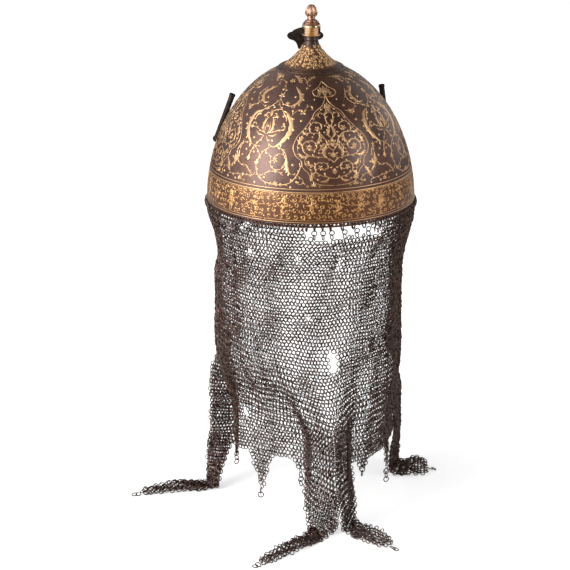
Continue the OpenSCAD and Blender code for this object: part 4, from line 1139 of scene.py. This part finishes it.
def long_point_rings(point):
    """Rings of a long point, which narrows, bends and lies along the floor, and the two larger
    ones at its tip."""
    rings = Rings()
    end, layer_step, layer_gap = 1.985, 1.6, 3.2
    ts = np.linspace(0, end, 420)
    middle, _ = strip_place(point, 0 * ts, ts)
    length = np.concatenate([[0], np.cumsum(np.linalg.norm(np.diff(middle, axis=0), axis=1))])
    runs = np.arange(0.6 - 8 * ROW_PITCH, length[-1] + 8 * ROW_PITCH, ROW_PITCH)
    rows = [(k, run + layer_step * layer, layer)
            for layer in range(point.layers) for k, run in enumerate(runs)]
    for k, run, layer in rows[::-1]:
        row = float(np.interp(run, length, ts)) + min(0, run) / length[-1] * end
        half = strip_place(point, [0.0], [np.clip(row, 0, 2)])[1][0]
        shift = (0.5 if k % 2 else 0.0) + 0.3 * layer
        gathered = float(ease(row * 2.2) * (1 - ease((row - 1.2) * 3)))
        pitch = MAIL_PITCH * blend(1, point.gather, gathered)
        reach = int(half / pitch) + 1
        x = (np.arange(-reach, reach + 1) + shift) * pitch
        x = x[np.abs(x) <= half - 0.35 * pitch + 0.9]
        if not len(x):
            x = np.array([0.0])
        u = np.clip(x / max(half, 1.0), -1, 1)
        t = row + point.slope * u * ease((1.5 - row) * 2)
        u, t = u[(t > 0) & (t < end)], t[(t > 0) & (t < end)]
        if not len(t):
            continue
        centre, _ = strip_place(point, u, t)
        centre[:, 1] += layer_gap * layer * (t < 0.9)
        along = strip_place(point, u + 0.04, t)[0] - strip_place(point, u - 0.04, t)[0]
        down = strip_place(point, u, np.minimum(2, t + 0.012))[0] - strip_place(
            point, u, np.maximum(0, t - 0.012))[0]
        lean = point.lean * (-1 if k % 2 else 1)
        rings.put(*tilt_and_shake(centre, unit(along), unit(down), lean))
    add_tip_links(rings, middle[-1], unit(middle[-1] - middle[-12]))
    return rings


def add_tip_links(rings, tip, ahead):
    """Two larger rings that end a long point."""
    flat = np.array([ahead[1], -ahead[0], 0])
    for k, rise in enumerate((0.4, 0.1)):
        spot = tip + ahead * (3.6 + 4.3 * k)
        spot[2] = FLOOR_Z + 1.5
        rings.put(spot[None], unit(flat + np.array([0, 0, rise]))[None], ahead[None], 1.14)


def fringe_rings():
    """Rings of the short fringe over the brow, with its row of small points."""
    rings = Rings()
    first, last = FRINGE_FIRST, FRINGE_LAST
    for row in range(17):
        drop = FIRST_ROW + row * ROW_PITCH
        k = np.arange(first, last + 1.0) if row % 2 == 0 else np.arange(first, last + 2.0) - 0.5
        share = (k - first) / (last - first)
        tooth = 9 * (1 - np.abs(((share * 24 + 2) % 4) - 2) / 2)
        k = k[drop < FRINGE_DROP + tooth]
        angle = np.radians(-90 + (k + 0.5) * 360 / RIM_COUNT)
        r = RIM_MID_R - 1.5 * drop / FRINGE_DROP
        z = np.full_like(r * angle, MAIL_Z - drop)
        centre = np.stack([r * np.cos(angle), r * np.sin(angle), z], 1)
        along = np.stack([-np.sin(angle), np.cos(angle), 0 * angle], 1)
        down = np.tile([0.0, 0, -1], (len(k), 1))
        if len(k):
            rings.put(*tilt_and_shake(centre, along, down, LEAN if row % 2 else -LEAN))
    return rings


def hanging_links():
    """The pairs of larger rings that dangle from the small points of the hem, and the two-ring
    links that bridge the torn top edge."""
    rings = Rings()
    for k, (s0, wide, deep) in enumerate(HEM_POINTS):
        top = sheet_place(np.array([float(s0)]), MAIL_DROP)
        turn = np.radians(40 * k)
        for link in range(2 + k % 2):
            z = MAIL_Z - MAIL_DROP - deep - 1.6 - 4.4 * link
            angle = turn + link * np.pi / 2
            centre = np.array([[top[0, 0], top[0, 1], z]])
            rings.put(centre, np.array([[math.cos(angle), math.sin(angle), 0]]),
                      np.array([[0.0, 0, -1]]), 1.16)
    for s in BRIDGE_LINKS:
        for link, drop in enumerate((1.4, 5.6)):
            centre = sheet_place(np.array([s]), drop)
            angle = np.arctan2(centre[0, 1], centre[0, 0]) + (np.pi / 2 if link == 0 else 0.3)
            rings.put(centre, np.array([[math.cos(angle), math.sin(angle), 0]]),
                      np.array([[0.0, 0, -1]]), 1.02)
    return rings


def ring_mesh(name, table, material, shape=TORUS, wire=RING_WIRE):
    """One piece of many rings. Each ring has its own patch of the texture map."""
    around, sides = shape
    n = len(table)
    centre, along, down, size = table[:, 0:3], table[:, 3:6], table[:, 6:9], table[:, 9]
    size = size * (1 + rng.normal(0, 0.02, n))
    u = np.linspace(0, 2 * np.pi, around, endpoint=False)
    v = np.linspace(0, 2 * np.pi, sides, endpoint=False) + 0.3
    axle = unit(np.cross(down, along))
    radial = np.cos(u)[None, :, None] * down[:, None] + np.sin(u)[None, :, None] * along[:, None]
    reach = RING_R * size[:, None, None, None] + wire * np.cos(v)[None, None, :, None]
    points = (centre[:, None, None] + radial[:, :, None] * reach
              + axle[:, None, None] * (wire * np.sin(v))[None, None, :, None])
    i, j = np.meshgrid(np.arange(around), np.arange(sides), indexing="ij")
    i2, j2 = (i + 1) % around, (j + 1) % sides
    cell = np.stack([i * sides + j, i2 * sides + j, i2 * sides + j2, i * sides + j2], 2)
    cell = cell.reshape(-1, 4)
    faces = (np.arange(n)[:, None, None] * around * sides + cell[None]).reshape(-1, 4)
    made = piece(name, points.reshape(-1, 3), faces, material, sharp=0)
    across = math.ceil(math.sqrt(n))
    corner = np.stack([np.stack([(i + a) / around, (j + b) / sides], 2)
                       for a, b in ((0, 0), (1, 0), (1, 1), (0, 1))], 2).reshape(-1, 4, 2)
    patch = np.stack([np.arange(n) % across, np.arange(n) // across], 1)[:, None, None]
    spots = (patch + 0.06 + 0.88 * corner[None]) / across
    layer = made.data.uv_layers.new(name="OFBake")
    layer.data.foreach_set("uv", spots.reshape(-1))
    return made


def hang_mail():
    """All the ring mail, panel by panel, in the CAD frame's own folds."""
    panels = {"mail_left_side": (-MAIL_HALF, -36), "mail_back_left": (-36, -12),
              "mail_back_centre": (-12, 14), "mail_back_right": (14, 38),
              "mail_right_side": (38, MAIL_HALF)}
    sets = {node: panel_rings(*span) for node, span in panels.items()}
    sets["mail_brow_fringe"] = fringe_rings()
    for where, point in LONG_POINTS.items():
        sets["mail_point_" + where] = long_point_rings(point)
    for node, rings in sets.items():
        table = rings.table()
        parts = max(1, math.ceil(len(table) / MAX_RINGS))
        made = [ring_mesh(f"{node}_rings_{k + 1}", part, mail_iron)
                for k, part in enumerate(np.array_split(table, parts))]
        for ring_piece in made:
            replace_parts(ring_piece, node)
    ring_mesh("dangling_rings", hanging_links().table(), mail_iron, (20, 8), 0.5)


hang_mail()


def hang_rings():
    """The rim's hanger rings: wire wound twice, each linked through its hole."""
    angle = (np.arange(RIM_COUNT) + 0.5) * 360 / RIM_COUNT
    from_back = (angle - 270 + 180) % 360 - 180
    s = np.radians(from_back) * RIM_MID_R
    bridged = np.min(np.abs(s[:, None] - np.array(BRIDGE_LINKS)), 1) < 1.95
    lost = (s > TORN_TOP[0]) & (s < TORN_TOP[1]) & ~bridged
    lost |= (s > TORN_LEFT[0]) & (s < TORN_LEFT[1])
    around, sides, turns, side_step = 30, 6, 1.94, 0.95
    points, faces = [], []
    t = np.linspace(0, turns, around)
    v = np.linspace(0, 2 * np.pi, sides, endpoint=False)
    k, j = np.meshgrid(np.arange(around - 1), np.arange(sides), indexing="ij")
    cell = np.stack([k * sides + j, (k + 1) * sides + j, (k + 1) * sides + (j + 1) % sides,
                     k * sides + (j + 1) % sides], 2).reshape(-1, 4)
    for n, turn in enumerate(np.radians(angle[~lost])):
        yaw = turn + rng.normal(0, 0.16)
        flat = np.array([math.cos(yaw), math.sin(yaw), 0])
        side = np.array([-math.sin(yaw), math.cos(yaw), 0])
        centre = np.array([RIM_MID_R * math.cos(turn), RIM_MID_R * math.sin(turn), HANGER_Z])
        start = rng.uniform(0, 2 * np.pi)
        wind = start + 2 * np.pi * t
        out = np.cos(wind)[:, None] * flat + np.sin(wind)[:, None] * np.array([0, 0, 1.0])
        line = centre + HANGER_R * out + side * (side_step * (t / turns - 0.5))[:, None]
        tube = (line[:, None] + HANGER_WIRE * (np.cos(v)[None, :, None] * out[:, None]
                                               + np.sin(v)[None, :, None] * side))
        points.append(tube.reshape(-1, 3))
        faces.append(cell + n * around * sides)
    made = piece("hanger_links", np.vstack(points), np.vstack(faces), mail_iron,
                 sharp=0)
    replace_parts(made, "hanger_rings")


hang_rings()


def dress(node, material, edge_mm=0.0):
    """Gives a CAD node its material, soft shading and, if asked, slightly rounded edges."""
    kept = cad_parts[node]
    kept.data.materials.clear()
    kept.data.materials.append(material)
    kept.data.shade_smooth()
    kept.data.set_sharp_from_angle(angle=math.radians(32))
    if edge_mm:
        edge = kept.modifiers.new("worn edges", "BEVEL")
        edge.width, edge.segments = edge_mm * MM, 2
        edge.limit_method, edge.angle_limit = "ANGLE", math.radians(40)
        edge.harden_normals = True


dress("nasal_bar", nasal_iron, 0.35)
dress("nasal_plate", gilt)
dress("nasal_bracket", fittings, 0.3)
dress("nasal_rivets", fittings)
dress("nasal_screw", fittings, 0.25)
dress("finial_stud", fittings)
dress("finial_nut", fittings, 0.3)
for hand in ("left", "right"):
    dress("plume_plate_" + hand, gilt)
    dress("plume_tube_" + hand, nasal_iron)
    dress("plume_rivets_" + hand, fittings)


def floor_paper(name):
    """Matt white paper. To the camera it runs into the white room and takes a soft shadow. To the
    metal it shows painted light and shade: pale nearer the helmet and far to the sides, near black
    far out towards the camera and far behind, and with a glowing ring of painted reflection for
    the brass drum."""
    material, tree = start_material(name)
    glow = add(tree, "Emission", {"Color": (1, 1, 1, 1), "Strength": 0.545})
    paper = add(tree, "BsdfDiffuse", {"Color": (0.86, 0.86, 0.86, 1)})
    bright = add(tree, "AddShader", [paper, glow])
    spot = add(tree, "NewGeometry")
    x, y, _ = add(tree, "SeparateXYZ", [spot], out=None)
    # Painted light and shade: to all but camera rays the paper is near black far out towards the
    # camera, and pale nearer the helmet and far to the left and right
    near = add(tree, "MapRange", [y, -0.95, -0.45], **SOFT)
    left = add(tree, "MapRange", [x, -1.0, -0.5, 1, 0], **SOFT)
    right = add(tree, "MapRange", [x, 0.8, 1.3], **SOFT)
    lit = add(tree, "Math", [near, add(tree, "Math", [left, right], **MOST)], **MOST)
    shade = add(tree, "Mix", {0: lit, 6: (0.03, 0.03, 0.03, 1), 7: (0.62, 0.6, 0.58, 1)},
                **COLOURS)
    # Painted reflection: to all but camera rays a ring of paper further out glows, white on the
    # left, warm and dim towards the camera and grey on the right, so that the upright wall of the
    # brass drum mirrors painted bands of light
    away = add(tree, "VectorMath", [spot], out=1, operation="LENGTH")
    ring = add(tree, "Math", [add(tree, "MapRange", [away, 1.16, 1.26], **SOFT),
                              add(tree, "MapRange", [away, 2.2, 2.5, 1, 0], **SOFT)], **TIMES)
    ring = add(tree, "Math", [ring, add(tree, "MapRange", [y, -0.1, 0.2, 1, 0], **SOFT)], **TIMES)
    share = add(tree, "MapRange", [x, -0.95, -0.78, 1, 0], **SOFT)
    tone = add(tree, "Mix", {0: share, 6: (0.8, 0.44, 0.12, 1), 7: (1.95, 1.93, 2.15, 1)},
               **COLOURS)
    share = add(tree, "MapRange", [x, 1.1, 1.3], **SOFT)
    tone = add(tree, "Mix", {0: share, 6: tone, 7: (1.3, 0.98, 1.0, 1)}, **COLOURS)
    # Painted shade: far behind the helmet the paper turns black to all but camera rays, so the
    # shoulders of the dome mirror dark
    end = add(tree, "Math", [add(tree, "MapRange", [away, 1.6, 2.1], **SOFT),
                             add(tree, "MapRange", [y, 0, 0.3], **SOFT)], **TIMES)
    share = add(tree, "Math", [ring, end], **MOST)
    shade = add(tree, "Mix", {0: share, 6: shade, 7: (0, 0, 0, 1)}, **COLOURS)
    dull = add(tree, "AddShader", [add(tree, "BsdfDiffuse", {"Color": shade}),
                                   add(tree, "Emission", {"Color": tone, "Strength": ring})])
    to_camera = add(tree, "LightPath")
    add(tree, "OutputMaterial", [add(tree, "MixShader", [to_camera, dull, bright])])
    return material


def build_stage():
    """A wide white floor under the helmet."""
    mesh = bpy.data.meshes.new("floor")
    wide = 9.0
    mesh.from_pydata([(x * wide, y * wide, FLOOR_Z * MM)
                      for x, y in ((-1, -1), (1, -1), (1, 1), (-1, 1))], [], [(0, 1, 2, 3)])
    mesh.materials.append(floor_paper("white floor paper"))
    floor = bpy.data.objects.new("floor", mesh)
    bpy.context.scene.collection.objects.link(floor)


def light_room():
    """White to the camera; to the metal, bright on the left and behind the helmet, darker where
    the camera stands."""
    world = bpy.data.worlds.new("white room")
    bpy.context.scene.world = world
    world.use_nodes = True
    tree = world.node_tree
    tree.nodes.clear()
    x, y, z = add(tree, "SeparateXYZ", [add(tree, "TexCoord")], out=None)
    window = add(tree, "VectorMath", [add(tree, "TexCoord"), (-0.85, -0.42, 0.33)], out=1,
                 operation="DOT_PRODUCT")
    behind = add(tree, "Math", [add(tree, "MapRange", [y, 0.1, 0.9, 0, 0.25], **SOFT),
                                add(tree, "MapRange", [z, 0.05, 0.5, 1, 0.12], **SOFT)], **TIMES)
    tone = add(tree, "MapRange", [window, 0.25, 0.95, 0.1, 1.4], **SOFT)
    tone = add(tree, "Math", [tone, behind], **PLUS)
    corner = add(tree, "Math", [add(tree, "MapRange", [x, 0.3, 0.7, 0, 0.7], **SOFT),
                                add(tree, "MapRange", [y, 0, 0.5], **SOFT)], **TIMES)
    tone = add(tree, "Math", [tone, corner], **PLUS)
    room = add(tree, "Background", {"Color": (1, 1, 1, 1), "Strength": tone})
    plain = add(tree, "Background", {"Color": (1, 1, 1, 1), "Strength": 1.0})
    to_camera = add(tree, "LightPath")
    add(tree, "OutputWorld", [add(tree, "MixShader", [to_camera, room, plain])])


def lamp(name, way, distance, size, energy):
    """A square soft box in a direction from the helmet, turned to it."""
    data = bpy.data.lights.new(name, "AREA")
    data.energy, data.size = energy, size
    made = bpy.data.objects.new(name, data)
    bpy.context.scene.collection.objects.link(made)
    way = Vector(way).normalized()
    made.location = way * distance
    made.rotation_euler = way.to_track_quat("Z", "Y").to_euler()


def place_camera():
    """The photograph's camera, fitted to the bowl and the ellipses of its rim and border."""
    turn, rise, away, per_mm = math.radians(-2.5), math.radians(18), 2200.0, 0.997
    picture = 570                       # pixels, both ways
    middle_z, middle_px = -94.0, (310.3, 288.9)     # a place on the axis, and its pixel
    back = Vector((math.sin(turn) * math.cos(rise), -math.cos(turn) * math.cos(rise),
                   math.sin(rise)))
    right = Vector((math.cos(turn), math.sin(turn), 0))
    up = back.cross(right)
    off_x, off_y = ((px - picture / 2) / per_mm for px in middle_px)
    aim = Vector((0, 0, middle_z)) - right * off_x + up * off_y
    data = bpy.data.cameras.new("camera")
    data.sensor_width = 36
    data.lens = data.sensor_width * away / (picture / per_mm)
    data.clip_end = 50
    camera = bpy.data.objects.new("camera", data)
    bpy.context.scene.collection.objects.link(camera)
    spot = (aim + back * away) * MM
    facing = Matrix((right, up, back)).transposed().to_4x4()
    camera.matrix_world = Matrix.Translation(spot) @ facing
    bpy.context.scene.camera = camera


place_camera()
build_stage()
light_room()
lamp("soft box on the left", (-0.8, -0.5, 0.36), 1.5, 0.8, 16.5)
lamp("soft box over the front", (-0.3, 0.8, 0.75), 1.8, 1.2, 2)
lamp("weak fill on the right", (0.85, -0.45, 0.4), 2.0, 0.9, 11)

bpy.context.scene.view_settings.view_transform = "Standard"
